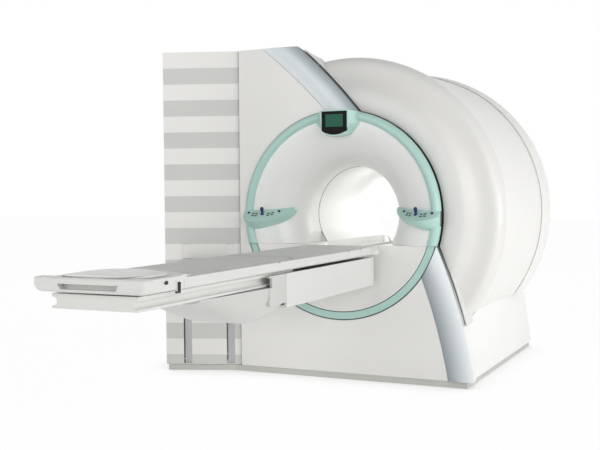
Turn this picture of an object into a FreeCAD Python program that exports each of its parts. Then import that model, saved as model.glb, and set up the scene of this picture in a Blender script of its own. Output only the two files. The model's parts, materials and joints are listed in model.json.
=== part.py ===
import FreeCAD, Part
import math
import os

from FreeCAD import Vector as V

# A whole-body magnetic resonance scanner with its patient table.
# Millimetres. X to the right seen from the table end, Y into the bore, Z up from the floor.
# The origin is on the floor, under the middle of the magnet's field.

# ---- driving dimensions: bore and magnet ----
BORE_HEIGHT = 980.0
BORE_R = 300.0
FRONT_Y = -850.0
MAGNET_LENGTH = 1665.0
COVER_HEIGHT = 2000.0
WALL = 5.0
SEAM = 3.0
FIT = 0.3
RUNNING = 0.05

# ---- front cover, ring and funnel ----
RING_R = 626.0
RING_WIDTH = 54.0
RING_GAP = 4.0
BEAD_HEIGHT = 24.0
BEAD_SKIRT = 28.0
SKIRT_WALL = 6.0
STRIPE_INSET = 7.0
STRIPE_HEIGHT = 3.0
LEDGE_DROP = 177.0
LIP_DEPTH = 380.0
INSERT_DISH = 30.0
CHANNEL_HALF = 280.0
PANEL_DEPTH = 30.0
PANEL_LEFT = 668.0
PLINTH_HEIGHT = 35.0
PLINTH_INSET = 14.0
BASE_HALF = 792.0
BASE_LEAN = 62.0
BASE_OVERHANG = 17.0
BASE_DROP = 56.0
BASE_LAP = 14.0
CHAMFER_DEPTH = 170.0

# the silver band is turned about a far axis, low on the left
BAND_TOP_X = -502.0
BAND_FOOT_X = 671.0
BAND_R = 3141.0
BAND_WIDTH = 150.0
BAND_CROWN = 14.0
BAND_EDGE = 6.0
BAND_FRAME_DEPTH = 200.0
BAND_RETURN = 52.0
HOOD_DROP = 55.0

# ---- magnet inside ----
FLOOR_GAP = 80.0
CRYOSTAT_BORE_R = 452.0
CRYOSTAT_FRONT = 215.0
REAR_ROOM = 145.0
GRADIENT_R = 440.0
GRADIENT_WALL = 78.0
BODY_COIL_R = 357.0
BODY_COIL_WALL = 10.0
COIL_R = 560.0
COVER_GAP = 40.0

# ---- barrel covers ----
# the shoulder: share of the way from ring to barrel, and depth behind the front plane
SHOULDER = [(0.0, 58), (0.194, 50), (0.387, 58), (0.581, 92),
            (0.774, 112), (0.952, 128), (1.042, 178), (1.023, 249)]
# the barrel: rise over its radius, and share of the way between its seams
BARREL = [(0.5, -0.009), (-5, 0.25), (-4, 0.55), (1, 0.8), (6.5, 1.008)]
# the rim: rise over the barrel's radius, and distance from the rear
RIM = [(13, 415), (24, 345), (26, 245), (10, 135), (-35, 50), (-120, 10)]
REAR_MOUTH_R = 500.0

# ---- tower with the table lift ----
TOWER_TURN = 20.65
TOWER_X = -671.0
TOWER_WIDTH = 484.0
TOWER_FACE = 16.0
TOWER_BACK = 330.0
TOWER_INNER = 640.0
BAND_STEP = 100.0
BAND_INLAY = 1.5
SLOT_WIDTH = 52.0
SLOT_CENTRES = (73.0, 347.0)
RAIL_WIDTH = 43.0
WEB = 6.0
SCREW_R = 14.0
SCREW_S = 220.0
SCREW_D = -104.0

# ---- table, all heights counted down from the ledge ----
TABLE_HALF = 235.0
TABLE_STEP = 7.0
RAIL_HEIGHT = 44.0
TRAY_WALL = 20.0
TABLE_FAR = -30.0
TABLE_NEAR = -2100.0
SLIDE_X = 160.0
SLIDE_GAP = 7.0
MATTRESS_RISE = 11.0
MATTRESS_SPLIT = -1050.0
TROLLEY_HALF = 200.0
TROLLEY_HEIGHT = 58.0
TROLLEY_NEAR = -2360.0
TROLLEY_FAR = -1050.0
BEAM_HEIGHT = 163.0
BEAM_FAR = -6.0
BEAM_NEAR = -1195.0
CRADLE_NEAR = -1900.0
CRADLE_DROP = 55.0
TROUGH_GAP = 7.0
SHAFT_RISE = 59.0
SHAFT_R = 6.0
PULLEY_R = 24.0
PULLEY_DEPTHS = (-1120.0, -130.0)
END_HALF = 260.0
END_NOSE = -2404.0
END_TONGUE = 95.0

# ---- controls on the ring ----
SCREEN_HALF = 80.0
SCREEN_RISE = 615.0
SCREEN_HEIGHT = 138.0
SCREEN_PROUD = 55.0
PANEL_TILT = 42.0
KNOB_TILT = 10.0
KNOB_X = 493.0
KNOB_R = 11.0
BUTTON_R = 8.0

# ---- what follows from them ----
FAR = 2 * (COVER_HEIGHT + MAGNET_LENGTH)
RING_INNER_R = RING_R - RING_WIDTH
FRAME_R = RING_R - SKIRT_WALL - 1
CRYOSTAT_R = BORE_HEIGHT - FLOOR_GAP
CRYOSTAT_REAR = MAGNET_LENGTH - REAR_ROOM
BARREL_R = CRYOSTAT_R + COVER_GAP
FRONT_SEAM = SHOULDER[-1][1]
REAR_SEAM = MAGNET_LENGTH - RIM[0][1]
PANEL_LOW = PLINTH_HEIGHT + SEAM
BASE_TOP = BORE_HEIGHT - math.sqrt(BARREL_R ** 2 - (BASE_HALF - BASE_LEAN + BASE_OVERHANG) ** 2)
LEDGE_HEIGHT = BORE_HEIGHT - LEDGE_DROP
TABLE_TOP = LEDGE_HEIGHT - TABLE_STEP
TABLE_LOW = TABLE_TOP - RAIL_HEIGHT
MATTRESS_TOP = TABLE_TOP + MATTRESS_RISE
TROLLEY_TOP = TABLE_LOW - SLIDE_GAP
TROLLEY_BOTTOM = TROLLEY_TOP - TROLLEY_HEIGHT
BEAM_TOP = TROLLEY_TOP - SLIDE_GAP
BEAM_BOTTOM = BEAM_TOP - BEAM_HEIGHT
CRADLE_BOTTOM = BEAM_BOTTOM - CRADLE_DROP
SHAFT_Z = BEAM_BOTTOM + SHAFT_RISE
SLOT_TOP = LEDGE_HEIGHT - SEAM
SLOT_BOTTOM = PANEL_LOW + 6
SCREEN_TOP = BORE_HEIGHT + SCREEN_RISE
SCREEN_BOTTOM = SCREEN_TOP - SCREEN_HEIGHT
BORE_AXIS = V(0, 0, BORE_HEIGHT)
ALONG = V(0, 1, 0)
UP = V(0, 0, 1)


def band_axis():
    """The silver band's far axis, from where its left edge starts and ends."""
    dx = BAND_FOOT_X - BAND_TOP_X
    dz = PANEL_LOW - COVER_HEIGHT
    chord = math.hypot(dx, dz)
    away = math.sqrt(BAND_R ** 2 - chord ** 2 / 4)
    x = (BAND_FOOT_X + BAND_TOP_X) / 2 + away * dz / chord
    z = (PANEL_LOW + COVER_HEIGHT) / 2 - away * dx / chord
    return x, z


BAND_X, BAND_Z = band_axis()


def at(depth):
    """The Y place of a depth behind the front plane."""
    return FRONT_Y + depth


def save(name, shape):
    """Write one sub-part."""
    shape.exportStep("parts/" + name + ".step")


def edge(a, b):
    return Part.makeLine(a, b)


def arc(a, b, c):
    return Part.Arc(a, b, c).toShape()


def box(x0, x1, y0, y1, z0, z1):
    """A block between two corners."""
    return Part.makeBox(x1 - x0, y1 - y0, z1 - z0, V(x0, y0, z0))


def polygon(points):
    """A flat face from corner points in space."""
    return Part.Face(Part.makePolygon(points + [points[0]]))


def along_bore(r, depth0, depth1):
    """A cylinder on the bore axis."""
    return Part.makeCylinder(r, depth1 - depth0, V(0, at(depth0), BORE_HEIGHT), ALONG)


def tube(r_out, r_in, depth0, depth1):
    """A tube on the bore axis."""
    return along_bore(r_out, depth0, depth1).cut(along_bore(r_in, depth0 - 1, depth1 + 1))


def section(r, depth):
    """A point of a turned profile, above the bore axis."""
    return V(0, at(depth), BORE_HEIGHT + r)


def turned(edges):
    """Turn a closed profile once round the bore axis."""
    return Part.Face(Part.Wire(Part.__sortEdges__(edges))).revolve(BORE_AXIS, ALONG, 360)


def turned_polygon(points):
    """Turn straight-sided profile points once round the bore axis."""
    return polygon([section(r, d) for r, d in points]).revolve(BORE_AXIS, ALONG, 360)


def spline(points):
    """A smooth curve through profile points, and its points set in by one wall."""
    curve = Part.BSplineCurve()
    curve.interpolate(points)
    inner = []
    for p in points:
        tangent = curve.tangent(curve.parameter(p))[0]
        inner.append(p + V(0, -tangent.z, tangent.y) * -WALL)
    return curve, inner


def turned_skin(profile):
    """A turned cover of one wall thickness, its outside through the profile points."""
    curve, inner_points = spline([section(r, d) for r, d in profile])
    inner = Part.BSplineCurve()
    inner.interpolate(inner_points)
    ends = [edge(curve.StartPoint, inner.StartPoint), edge(curve.EndPoint, inner.EndPoint)]
    return turned([curve.toShape(), inner.toShape()] + ends)


def below(z):
    """Everything lower than a height."""
    return box(-FAR, FAR, -FAR, FAR, -FAR, z)


def above(z):
    """Everything higher than a height."""
    return box(-FAR, FAR, -FAR, FAR, z, FAR)


def across(points):
    """A prism right across the machine from points of depth and height."""
    return polygon([V(-FAR, at(d), z) for d, z in points]).extrude(V(2 * FAR, 0, 0))


# ---------------------------------------------------------------- front cover

def band_cylinder(r, depth0, depth1):
    """A cylinder round the silver band's far axis."""
    return Part.makeCylinder(r, depth1 - depth0, V(BAND_X, at(depth0), BAND_Z), ALONG)


def band_edge(r, z):
    """X where a circle round the band's axis crosses a height."""
    return BAND_X + math.sqrt(r * r - (z - BAND_Z) ** 2)


def front_outline(inset):
    """The front panel's outline, closed by the band's inner edge, drawn in by an inset."""
    r = BAND_R - 2 - inset
    low = PANEL_LOW + inset
    high = COVER_HEIGHT - inset
    left = -PANEL_LEFT + inset
    y = at(inset)
    corner_low = V(band_edge(r, low), y, low)
    corner_high = V(band_edge(r, high), y, high)
    middle_z = (low + high) / 2
    middle = V(band_edge(r, middle_z), y, middle_z)
    edges = [edge(V(left, y, low), corner_low), arc(corner_low, middle, corner_high)]
    edges += [edge(corner_high, V(left, y, high)), edge(V(left, y, high), V(left, y, low))]
    return Part.Face(Part.Wire(edges))


def hood_profile(inset):
    """The hood's side view: its top sinks in a hollow curve from the panel to the barrel."""
    y0, y1 = at(PANEL_DEPTH), at(BAND_FRAME_DEPTH - inset)
    high = COVER_HEIGHT - inset
    low = high - HOOD_DROP
    middle = V(0, (y0 + y1) / 2, high - HOOD_DROP * 0.72)
    foot = BORE_HEIGHT + RING_R
    edges = [arc(V(0, y0, high), middle, V(0, y1, low)), edge(V(0, y1, low), V(0, y1, foot))]
    edges += [edge(V(0, y1, foot), V(0, y0, foot)), edge(V(0, y0, foot), V(0, y0, high))]
    return Part.Face(Part.Wire(edges))


def make_hood():
    """The hood over the barrel's front: it closes the space between panel, band and tower."""
    left = -TOWER_INNER + 3
    outer = hood_profile(0).extrude(V(TOWER_INNER, 0, 0))
    inner = hood_profile(WALL).extrude(V(TOWER_INNER, 0, 0))
    hood = outer.cut(inner)
    hood.translate(V(left, 0, 0))
    beside = band_cylinder(BAND_R + BAND_WIDTH - 27, 0, BAND_RETURN + 3)
    behind = band_cylinder(BAND_R + BAND_WIDTH - 2, BAND_RETURN + 2, BAND_FRAME_DEPTH + 10)
    hood = hood.common(beside.fuse(behind))
    return hood.cut(along_bore(BARREL_R + 17, -10, BAND_FRAME_DEPTH + 10))


def hood_clearance():
    """What must stay free above the hood's curve."""
    face = hood_profile(0)
    face.translate(V(-FAR, 0, 0))
    block = box(-FAR, FAR, at(PANEL_DEPTH), at(FAR), BORE_HEIGHT + RING_R, FAR)
    return block.cut(face.extrude(V(2 * FAR, 0, 0)))


def make_front_panel():
    """The white front panel left of the band, a moulded shell with a return and a hood."""
    hole = along_bore(RING_R + 1, -10, 90)
    outer = front_outline(0).extrude(V(0, PANEL_DEPTH, 0)).cut(hole)
    rim = along_bore(RING_R + 1 + WALL, -10, 90)
    hollow = front_outline(WALL).extrude(V(0, PANEL_DEPTH, 0)).cut(rim)
    return outer.cut(hollow).fuse(make_hood()).removeSplitter()


def band_profile():
    """The band's crowned section, open at the back, with short returns at its edges."""
    def p(r, depth):
        return V(BAND_X + BAND_R + r, at(depth), BAND_Z)
    skin = BAND_EDGE - 1.5
    outer = [p(0, 0), p(BAND_WIDTH / 2, -BAND_CROWN), p(BAND_WIDTH, 0)]
    inner = [p(BAND_WIDTH - skin, skin), p(BAND_WIDTH / 2, skin - BAND_CROWN), p(skin, skin)]
    ends = [p(BAND_WIDTH, BAND_EDGE), p(BAND_WIDTH - skin, BAND_EDGE), p(skin, BAND_EDGE), p(0, BAND_EDGE)]
    edges = [arc(*outer), edge(outer[2], ends[0]), edge(ends[0], ends[1]), edge(ends[1], inner[0])]
    edges += [arc(*inner), edge(inner[2], ends[2]), edge(ends[2], ends[3]), edge(ends[3], outer[0])]
    return Part.Face(Part.Wire(edges))


def band_sweep(face):
    """Turn a band section from the floor to the top of the cover, parted by the ring."""
    axis_point = V(BAND_X, 0, BAND_Z)
    start = math.degrees(math.asin((PLINTH_HEIGHT - BAND_Z) / (BAND_R + BAND_WIDTH))) - 2
    end = math.degrees(math.asin((COVER_HEIGHT - BAND_Z) / BAND_R)) + 2
    face.rotate(axis_point, V(0, -1, 0), start)
    band = face.revolve(axis_point, V(0, -1, 0), end - start)
    band = band.cut(above(COVER_HEIGHT)).cut(below(PANEL_LOW))
    return band.cut(along_bore(RING_R + 1, -100, 600))


def upper_lower(shape):
    """The two solids of a band that the ring parts, the upper one first."""
    solids = sorted(shape.Solids, key=lambda s: -s.CenterOfMass.z)
    return solids[0], solids[1]


def make_band_frame():
    """The dark frames behind the band's right edge, between it and the shoulder's flange."""
    r = BAND_R + BAND_WIDTH - 1.5
    depth = BAND_EDGE + 1
    points = [(r - 24, depth), (r, depth), (r, BAND_RETURN), (r - 24, BAND_RETURN)]
    face = polygon([V(BAND_X + a, at(d), BAND_Z) for a, d in points])
    return band_sweep(face).cut(hood_clearance()).cut(base_wedge(1))


def make_ring_frame():
    """The dark carrier ring: it holds the bead and the stripe and closes the ring's side."""
    back = SHOULDER[0][1] + 6
    middle = (RING_R + RING_INNER_R) / 2 + 3
    points = [(FRAME_R, 0.5), (FRAME_R, back), (middle, back), (middle, 14), (RING_INNER_R + 5, 14),
              (RING_INNER_R + 5, 6), (middle, 6), (middle, 0.5)]
    lower = tube(RING_R - 1, FRAME_R - 1, 0.5, BEAD_SKIRT).cut(above(LEDGE_HEIGHT))
    return turned_polygon(points).fuse(lower).removeSplitter()


def bead_solid():
    """The raised bead all the way round with its skirt, before controls and ledge cut it."""
    inner = section(RING_INNER_R, 0)
    outer = section(RING_R, 0)
    crown = section((RING_INNER_R + RING_R) / 2, -BEAD_HEIGHT)
    skirt = [section(RING_R, BEAD_SKIRT), section(RING_R - SKIRT_WALL, BEAD_SKIRT), section(RING_R - SKIRT_WALL, 0)]
    edges = [arc(inner, crown, outer), edge(outer, skirt[0]), edge(skirt[0], skirt[1])]
    return turned(edges + [edge(skirt[1], skirt[2]), edge(skirt[2], inner)])


def make_ring_bead(controls):
    """The mint bead above the ledge, let in round the display and the two wings."""
    bead = bead_solid().cut(below(LEDGE_HEIGHT + SEAM))
    for shape in controls:
        bead = bead.cut(shape)
    return bead


def make_ring_stripe():
    """The flat mint stripe that carries the ring on below the ledge."""
    r0 = RING_INNER_R + STRIPE_INSET
    r1 = RING_R - STRIPE_INSET
    middle = (RING_R + RING_INNER_R) / 2 + 1
    points = [(r0, -STRIPE_HEIGHT), (r1, -STRIPE_HEIGHT), (r1, 0), (middle, 0), (middle, 5.5), (r0, 5.5)]
    return turned_polygon(points).cut(above(LEDGE_HEIGHT))


def funnel_arc(wall):
    """The funnel's quarter-round, from the ring to the bore, set out by a wall."""
    r = RING_INNER_R - BORE_R
    centre = (RING_INNER_R, r)
    small = r - wall
    start = section(centre[0], centre[1] - small)
    middle = section(centre[0] - small * math.sqrt(0.5), centre[1] - small * math.sqrt(0.5))
    end = section(centre[0] - small, centre[1])
    return start, middle, end


def make_funnel():
    """The bell mouth of the bore above the ledge, with upright walls beside the table's way."""
    a0, a1, a2 = funnel_arc(0)
    b0, b1, b2 = funnel_arc(WALL)
    lip = section(BORE_R, LIP_DEPTH)
    lip_out = section(BORE_R + WALL, LIP_DEPTH)
    flange = section(RING_R - SKIRT_WALL - 20, 0)
    flange_back = section(RING_R - SKIRT_WALL - 20, WALL)
    edges = [edge(lip, a2), arc(a2, a1, a0), edge(a0, flange), edge(flange, flange_back)]
    edges += [edge(flange_back, b0), arc(b0, b1, b2), edge(b2, lip_out), edge(lip_out, lip)]
    walls = channel(WALL).common(funnel_body(0))
    funnel = turned(edges).fuse(walls).removeSplitter()
    return funnel.cut(below(LEDGE_HEIGHT + 1)).cut(channel(0))


def channel(grow):
    """The straight-sided space over the ledge, as high as the bore is that wide."""
    half = CHANNEL_HALF + grow
    top = BORE_HEIGHT - math.sqrt(BORE_R ** 2 - CHANNEL_HALF ** 2) + grow
    return box(-half, half, at(-50), at(LIP_DEPTH), LEDGE_HEIGHT - LEDGE_DROP / 2, top)


def trough(rise):
    """The space in which the tabletop travels, from the ring plane through the bore."""
    half = TABLE_HALF + TROUGH_GAP
    floor = TABLE_LOW - TROUGH_GAP
    return box(-half, half, at(-50), at(MAGNET_LENGTH + 50), floor, LEDGE_HEIGHT + rise)


def make_front_insert():
    """The front below the ledge: a gently dished face, the ledge and the table's trough."""
    face = arc(section(RING_INNER_R + 2, 0), section(435, INSERT_DISH * 0.75), section(300, INSERT_DISH))
    corners = [(300, INSERT_DISH), (0, INSERT_DISH), (0, LIP_DEPTH), (BORE_R + WALL, LIP_DEPTH),
               (BORE_R + WALL + 5, 290), (450, 60), (RING_INNER_R + 2, 40), (RING_INNER_R + 2, 0)]
    points = [section(r, d) for r, d in corners]
    edges = [face] + [edge(points[i], points[i + 1]) for i in range(len(points) - 1)]
    insert = turned(edges).cut(above(LEDGE_HEIGHT))
    hollow = along_bore(250, 70, LIP_DEPTH + 1).cut(above(TABLE_LOW - TROUGH_GAP - 12))
    return insert.cut(trough(40)).cut(hollow)


# ---------------------------------------------------------------- controls

def wing_section(x, points):
    """One closed section of a wing: back, top, sloping panel, front lip and rounded belly."""
    back_top, front_top, brow, lip, belly, back_low = [V(x, at(d), BORE_HEIGHT + z) for d, z in points]
    edges = [edge(back_top, front_top), edge(front_top, brow), edge(brow, lip), arc(lip, belly, back_low)]
    edges.append(edge(back_low, back_top))
    return Part.Wire(edges)


def wing_solid(side):
    """A control wing from the ring into the funnel, on the side of +1 or -1."""
    sections = [
        wing_section(side * 627, [(40, 27), (-12, 26), (-36, -5), (-35, -13), (-19, -39), (40, -58)]),
        wing_section(side * 598, [(50, 28), (-18, 27), (-67, -17), (-65, -26), (-45, -52), (50, -70)]),
        wing_section(side * 545, [(70, 30), (-22, 29), (-87, -26), (-85, -35), (-60, -60), (70, -76)]),
        wing_section(side * 480, [(105, 34), (-8, 33), (-78, -27), (-76, -35), (-44, -54), (105, -64)]),
        wing_section(side * 410, [(150, 40), (34, 39), (-36, -13), (-34, -20), (-3, -36), (150, -46)]),
        wing_section(side * 360, [(180, 45), (70, 44), (26, 12), (28, 7), (50, -4), (180, -13)]),
        wing_section(side * 336, [(200, 47), (96, 46.5), (84, 38), (85, 35), (100, 29), (200, 25)]),
    ]
    return Part.makeLoft(sections, True, False)


def funnel_body(gap):
    """Everything outside the funnel's surface behind the front plane, nearer by a gap."""
    a0, a1, a2 = funnel_arc(-gap)
    out = RING_R + 74
    corners = [section(BORE_R - gap, LIP_DEPTH), section(out, LIP_DEPTH), section(out, -gap), a0]
    edges = [edge(a2, corners[0]), edge(corners[0], corners[1]), edge(corners[1], corners[2])]
    edges += [edge(corners[2], corners[3]), arc(a0, a1, a2)]
    return turned(edges)


def on_wing(wing, x, depth):
    """The point of a wing's sloping panel over one place."""
    probe = edge(V(x, at(depth), BORE_HEIGHT - 90), V(x, at(depth), BORE_HEIGHT + 90))
    return V(x, at(depth), wing.common(probe).BoundBox.ZMax)


def knob_place(wing, side):
    """Where a control knob leaves its wing's panel."""
    return on_wing(wing, side * KNOB_X, -38)


def button_places(wing, side):
    """Where the two round buttons of a wing sit, beyond the keys."""
    return [on_wing(wing, side * (KNOB_X + 95), -34), on_wing(wing, side * (KNOB_X - 88), 16)]


def panel_turn(wing, x, depth):
    """How far a wing's panel is turned about the upright at one place, in degrees."""
    left, right = on_wing(wing, x - 6, depth).z, on_wing(wing, x + 6, depth).z
    near, far = on_wing(wing, x, depth - 6).z, on_wing(wing, x, depth + 6).z
    return math.degrees(math.atan2(left - right, far - near))


def tilt(shape, place, angle):
    """Lean a control back with the wing's sloping panel."""
    shape.rotate(place, V(1, 0, 0), angle)
    return shape


def pocket(place, r, depth, height, angle):
    """A round hole in the wing under a control."""
    return tilt(Part.makeCylinder(r, depth + height, place - V(0, 0, depth)), place, angle)


def make_wing(side):
    """The wing with its pockets for the knob and the buttons and the recess for the keys."""
    blank = wing_solid(side)
    wing = blank.cut(funnel_body(FIT))
    wing = wing.cut(pocket(knob_place(blank, side), KNOB_R + 1.5, 14, 60, KNOB_TILT))
    for place in button_places(blank, side):
        wing = wing.cut(pocket(place, BUTTON_R + 0.5, 10, 40, PANEL_TILT))
    return wing.cut(key_pad(side, FIT))


def key_pad(side, gap):
    """The eight key fields of one wing, two by two on each side of the knob."""
    fields = []
    blank = wing_solid(side)
    for run, depth in ((-58, -17), (-36, -31), (36, -52), (58, -50)):
        for row in (-7, 7):
            x = side * (KNOB_X + run)
            place = on_wing(blank, x, depth + row)
            field = box(-8 - gap, 8 + gap, -4 - gap, 4 + gap, -5 - gap, 1.5)
            field.translate(place)
            field = tilt(field, place, PANEL_TILT)
            field.rotate(place, UP, panel_turn(blank, x, depth + row))
            fields.append(field)
    return fields[0].multiFuse(fields[1:])


def make_knob(side):
    """The control knob: a slim waisted stick with a domed head."""
    place = knob_place(wing_solid(side), side)
    foot, waist, neck = V(9, 0, -10), V(6, 0, 6), V(KNOB_R, 0, 28)
    brow, crown, centre = V(KNOB_R - 1.5, 0, 37), V(3, 0, 41.5), V(0, 0, 41.5)
    edges = [edge(V(0, 0, -10), foot), edge(foot, waist), edge(waist, neck)]
    edges += [arc(neck, brow, crown), edge(crown, centre), edge(centre, V(0, 0, -10))]
    knob = Part.Face(Part.Wire(edges)).revolve(V(0, 0, 0), UP, 360)
    knob.translate(place)
    return tilt(knob, place, KNOB_TILT)


def make_button(place):
    """A round push button with a domed cap."""
    button = Part.makeCylinder(BUTTON_R, 10, V(0, 0, -5))
    dome = Part.makeSphere(22, V(0, 0, -17))
    button = button.common(dome)
    button.translate(place)
    return tilt(button, place, PANEL_TILT)


def display_outline(y, half, shoulder, top, bottom):
    """The display housing's outline at one depth, its lower corners drawn in by an arc."""
    shoulder_z = bottom + (top - bottom) * 0.46
    right = [V(half, y, top), V(half, y, shoulder_z)]
    left = [V(-half, y, top), V(-half, y, shoulder_z)]
    low_r = V(shoulder, y, bottom + 12)
    low_l = V(-shoulder, y, bottom + 12)
    edges = [edge(left[0], right[0]), edge(right[0], right[1]), edge(right[1], low_r)]
    edges += [arc(low_r, V(0, y, bottom), low_l), edge(low_l, left[1]), edge(left[1], left[0])]
    return Part.Wire(edges)


def display_solid():
    """The display housing, widest where it meets the ring."""
    base = display_outline(at(0), 137, 78, SCREEN_TOP + 17, SCREEN_BOTTOM - 11)
    front = display_outline(at(-SCREEN_PROUD - 4), SCREEN_HALF + 9, 60, SCREEN_TOP + 8, SCREEN_BOTTOM - 8)
    foot = base.copy()
    foot.translate(V(0, 12, 0))
    housing = Part.makeLoft([base, front], True, True)
    housing = housing.fuse(Part.makeLoft([foot, base], True, True)).removeSplitter()
    return housing.common(along_bore(RING_R, -200, 50))


def bezel_face(inset, y):
    """The dark display glass's outline, square above and bowed below."""
    half = SCREEN_HALF - inset
    low = SCREEN_BOTTOM + 24 - inset * 0.4
    corners = [V(-half, y, SCREEN_TOP - inset), V(half, y, SCREEN_TOP - inset), V(half, y, low), V(-half, y, low)]
    bow = V(0, y, SCREEN_BOTTOM + inset)
    edges = [edge(corners[0], corners[1]), edge(corners[1], corners[2])]
    edges += [arc(corners[2], bow, corners[3]), edge(corners[3], corners[0])]
    return Part.Face(Part.Wire(edges))


def make_display():
    """Housing, bezel and screen of the display at the top of the ring."""
    front = at(-SCREEN_PROUD - 4)
    recess = bezel_face(-0.5, front - 1).extrude(V(0, 11, 0))
    housing = display_solid().cut(funnel_body(FIT)).cut(recess)
    bezel = bezel_face(0, front - 2).extrude(V(0, 11, 0))
    window = box(-56, 56, front - 5, front + 1, SCREEN_BOTTOM + 46, SCREEN_TOP - 18)
    screen = box(-55.7, 55.7, front - 1, front + 0.7, SCREEN_BOTTOM + 46.3, SCREEN_TOP - 18.3)
    return housing, bezel.cut(window), screen


# ---------------------------------------------------------------- barrel, base and magnet

def base_wedge(rise):
    """Everything under the barrel covers' lower edge, which drops towards the front."""
    points = [(-200, BASE_TOP - BASE_DROP - 12), (150, BASE_TOP - BASE_DROP), (450, BASE_TOP)]
    points += [(FAR, BASE_TOP), (FAR, -FAR), (-200, -FAR)]
    return across([(d, z + rise) for d, z in points])


def cover_cuts():
    """What the barrel covers leave free: the base, and the space behind the band and tower."""
    band = band_cylinder(BAND_R + BAND_WIDTH + SEAM, -50, BAND_FRAME_DEPTH + 4)
    tower = box(-FAR, -TOWER_INNER + 8, at(-100), at(TOWER_BACK + 2), 0, FAR)
    return [base_wedge(0), band, tower.cut(along_bore(BARREL_R + 24, BAND_FRAME_DEPTH, MAGNET_LENGTH))]


def shoulder_points():
    """The shoulder's turned profile, from the ring out to the front seam."""
    start = RING_R + RING_GAP
    return [(start + share * (BARREL_R - start), depth) for share, depth in SHOULDER]


def barrel_points():
    """The barrel's profile: its ends lap inside the shoulder and the rim."""
    return [(BARREL_R + rise, FRONT_SEAM + share * (REAR_SEAM - FRONT_SEAM)) for rise, share in BARREL]


def rim_points():
    """The rear rim's profile, from the rear seam to the flat rear face."""
    return [(BARREL_R + rise, MAGNET_LENGTH - back) for rise, back in RIM]


def shoulder_flange():
    """The shoulder's flange, which stands forward along the band to its dark frame."""
    r = BAND_R + BAND_WIDTH + SEAM
    start = BAND_RETURN + 2
    wall = band_cylinder(r + WALL, start, BAND_FRAME_DEPTH + 4)
    wall = wall.cut(band_cylinder(r, 0, BAND_FRAME_DEPTH + 10))
    wall = wall.cut(box(-FAR, BAND_TOP_X, -FAR, FAR, -FAR, FAR))
    curve, inner_points = spline([section(r, d) for r, d in shoulder_points()])
    inner = Part.BSplineCurve()
    inner.interpolate(inner_points)
    back = [V(0, at(FAR), inner.EndPoint.z), V(0, at(FAR), inner.StartPoint.z)]
    edges = [inner.toShape(), edge(inner.EndPoint, back[0]), edge(back[0], back[1]), edge(back[1], inner.StartPoint)]
    wall = wall.cut(turned(edges)).cut(hood_clearance()).cut(base_wedge(0))
    return wall.cut(along_bore(RING_R + RING_GAP + 2, -10, FAR))


def make_covers():
    """Front shoulder and barrel, two turned shells that lap at their seam."""
    covers = []
    for profile in (shoulder_points(), barrel_points()):
        cover = turned_skin(profile)
        for cut in cover_cuts():
            cover = cover.cut(cut)
        covers.append(cover)
    covers[0] = covers[0].fuse(shoulder_flange()).removeSplitter()
    return covers


def make_rear_cover():
    """The rear cover: the rounded rim and the flat ring round the rear mouth."""
    profile = rim_points()
    r_edge = profile[-1][0] + 2
    start = profile[-1][1] - 1
    depth = MAGNET_LENGTH - WALL
    face = [(r_edge, start), (REAR_MOUTH_R + 22, depth - 1), (REAR_MOUTH_R + 22, depth - 1 - WALL),
            (r_edge, start - WALL)]
    cover = turned_skin(profile).fuse(turned_polygon(face)).removeSplitter()
    return cover.cut(below(BASE_TOP))


def make_rear_funnel():
    """The rear bell mouth, a whole turn, with a flange over the rear cover."""
    r = REAR_MOUTH_R - BORE_R
    start = MAGNET_LENGTH - r

    def curve(small):
        k = small * math.sqrt(0.5)
        return [section(BORE_R + r - small, start), section(REAR_MOUTH_R - k, start + k),
                section(REAR_MOUTH_R, start + small)]
    a = curve(r)
    b = curve(r - WALL)
    lip_in = section(BORE_R, start - 80)
    lip_out = section(BORE_R + WALL, start - 80)
    flange = section(REAR_MOUTH_R + 20, MAGNET_LENGTH)
    flange_in = section(REAR_MOUTH_R + 20, MAGNET_LENGTH - WALL)
    edges = [edge(lip_in, a[0]), arc(*a), edge(a[2], flange), edge(flange, flange_in)]
    edges += [edge(flange_in, b[2]), arc(*b), edge(b[0], lip_out), edge(lip_out, lip_in)]
    return turned(edges).cut(trough(0))


def panel_x(z):
    """How far out the leaning side panels stand at a height."""
    return BASE_HALF - BASE_LEAN * (z - PANEL_LOW) / (BASE_TOP - PANEL_LOW)


def leaning_section(side, depth, foot, top):
    """A side panel's section from plinth to barrel, set out at its foot and at its top."""
    high = BASE_TOP + BASE_LAP
    points = [(panel_x(PANEL_LOW) + foot, PANEL_LOW), (panel_x(high) + top, high)]
    points += [(x - WALL, z) for x, z in reversed(points)]
    corners = [V(side * x, at(depth), z) for x, z in points]
    return Part.makePolygon(corners + [corners[0]])


def make_side_panel(side, depth0):
    """A flat leaning panel below the barrel, its top edge cut to the covers' lower edge."""
    panel = Part.Face(leaning_section(side, depth0, 0, 0)).extrude(V(0, MAGNET_LENGTH - depth0, 0))
    if side > 0:
        panel = panel.fuse(corner_panel(depth0)).removeSplitter()
    top = [(-200, BASE_TOP - BASE_DROP - 14), (150, BASE_TOP - BASE_DROP - 2), (445, BASE_TOP - 3)]
    lap_end = MAGNET_LENGTH - 110
    top += [(446, BASE_TOP + BASE_LAP), (lap_end, BASE_TOP + BASE_LAP), (lap_end + 1, BASE_TOP - SEAM)]
    top += [(FAR, BASE_TOP - SEAM), (FAR, FAR), (-200, FAR)]
    return panel.cut(across(top))


def corner_panel(depth1):
    """The right panel's front part, which turns out to the silver band's edge."""
    r = BAND_R + BAND_WIDTH - 1
    high = BASE_TOP + BASE_LAP
    foot = band_edge(r, PANEL_LOW) - panel_x(PANEL_LOW)
    top = band_edge(r, high) - panel_x(high)
    front = leaning_section(1, BAND_EDGE + 2, foot, top)
    return Part.makeLoft([front, leaning_section(1, depth1, 0, 0)], True, True)


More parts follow.
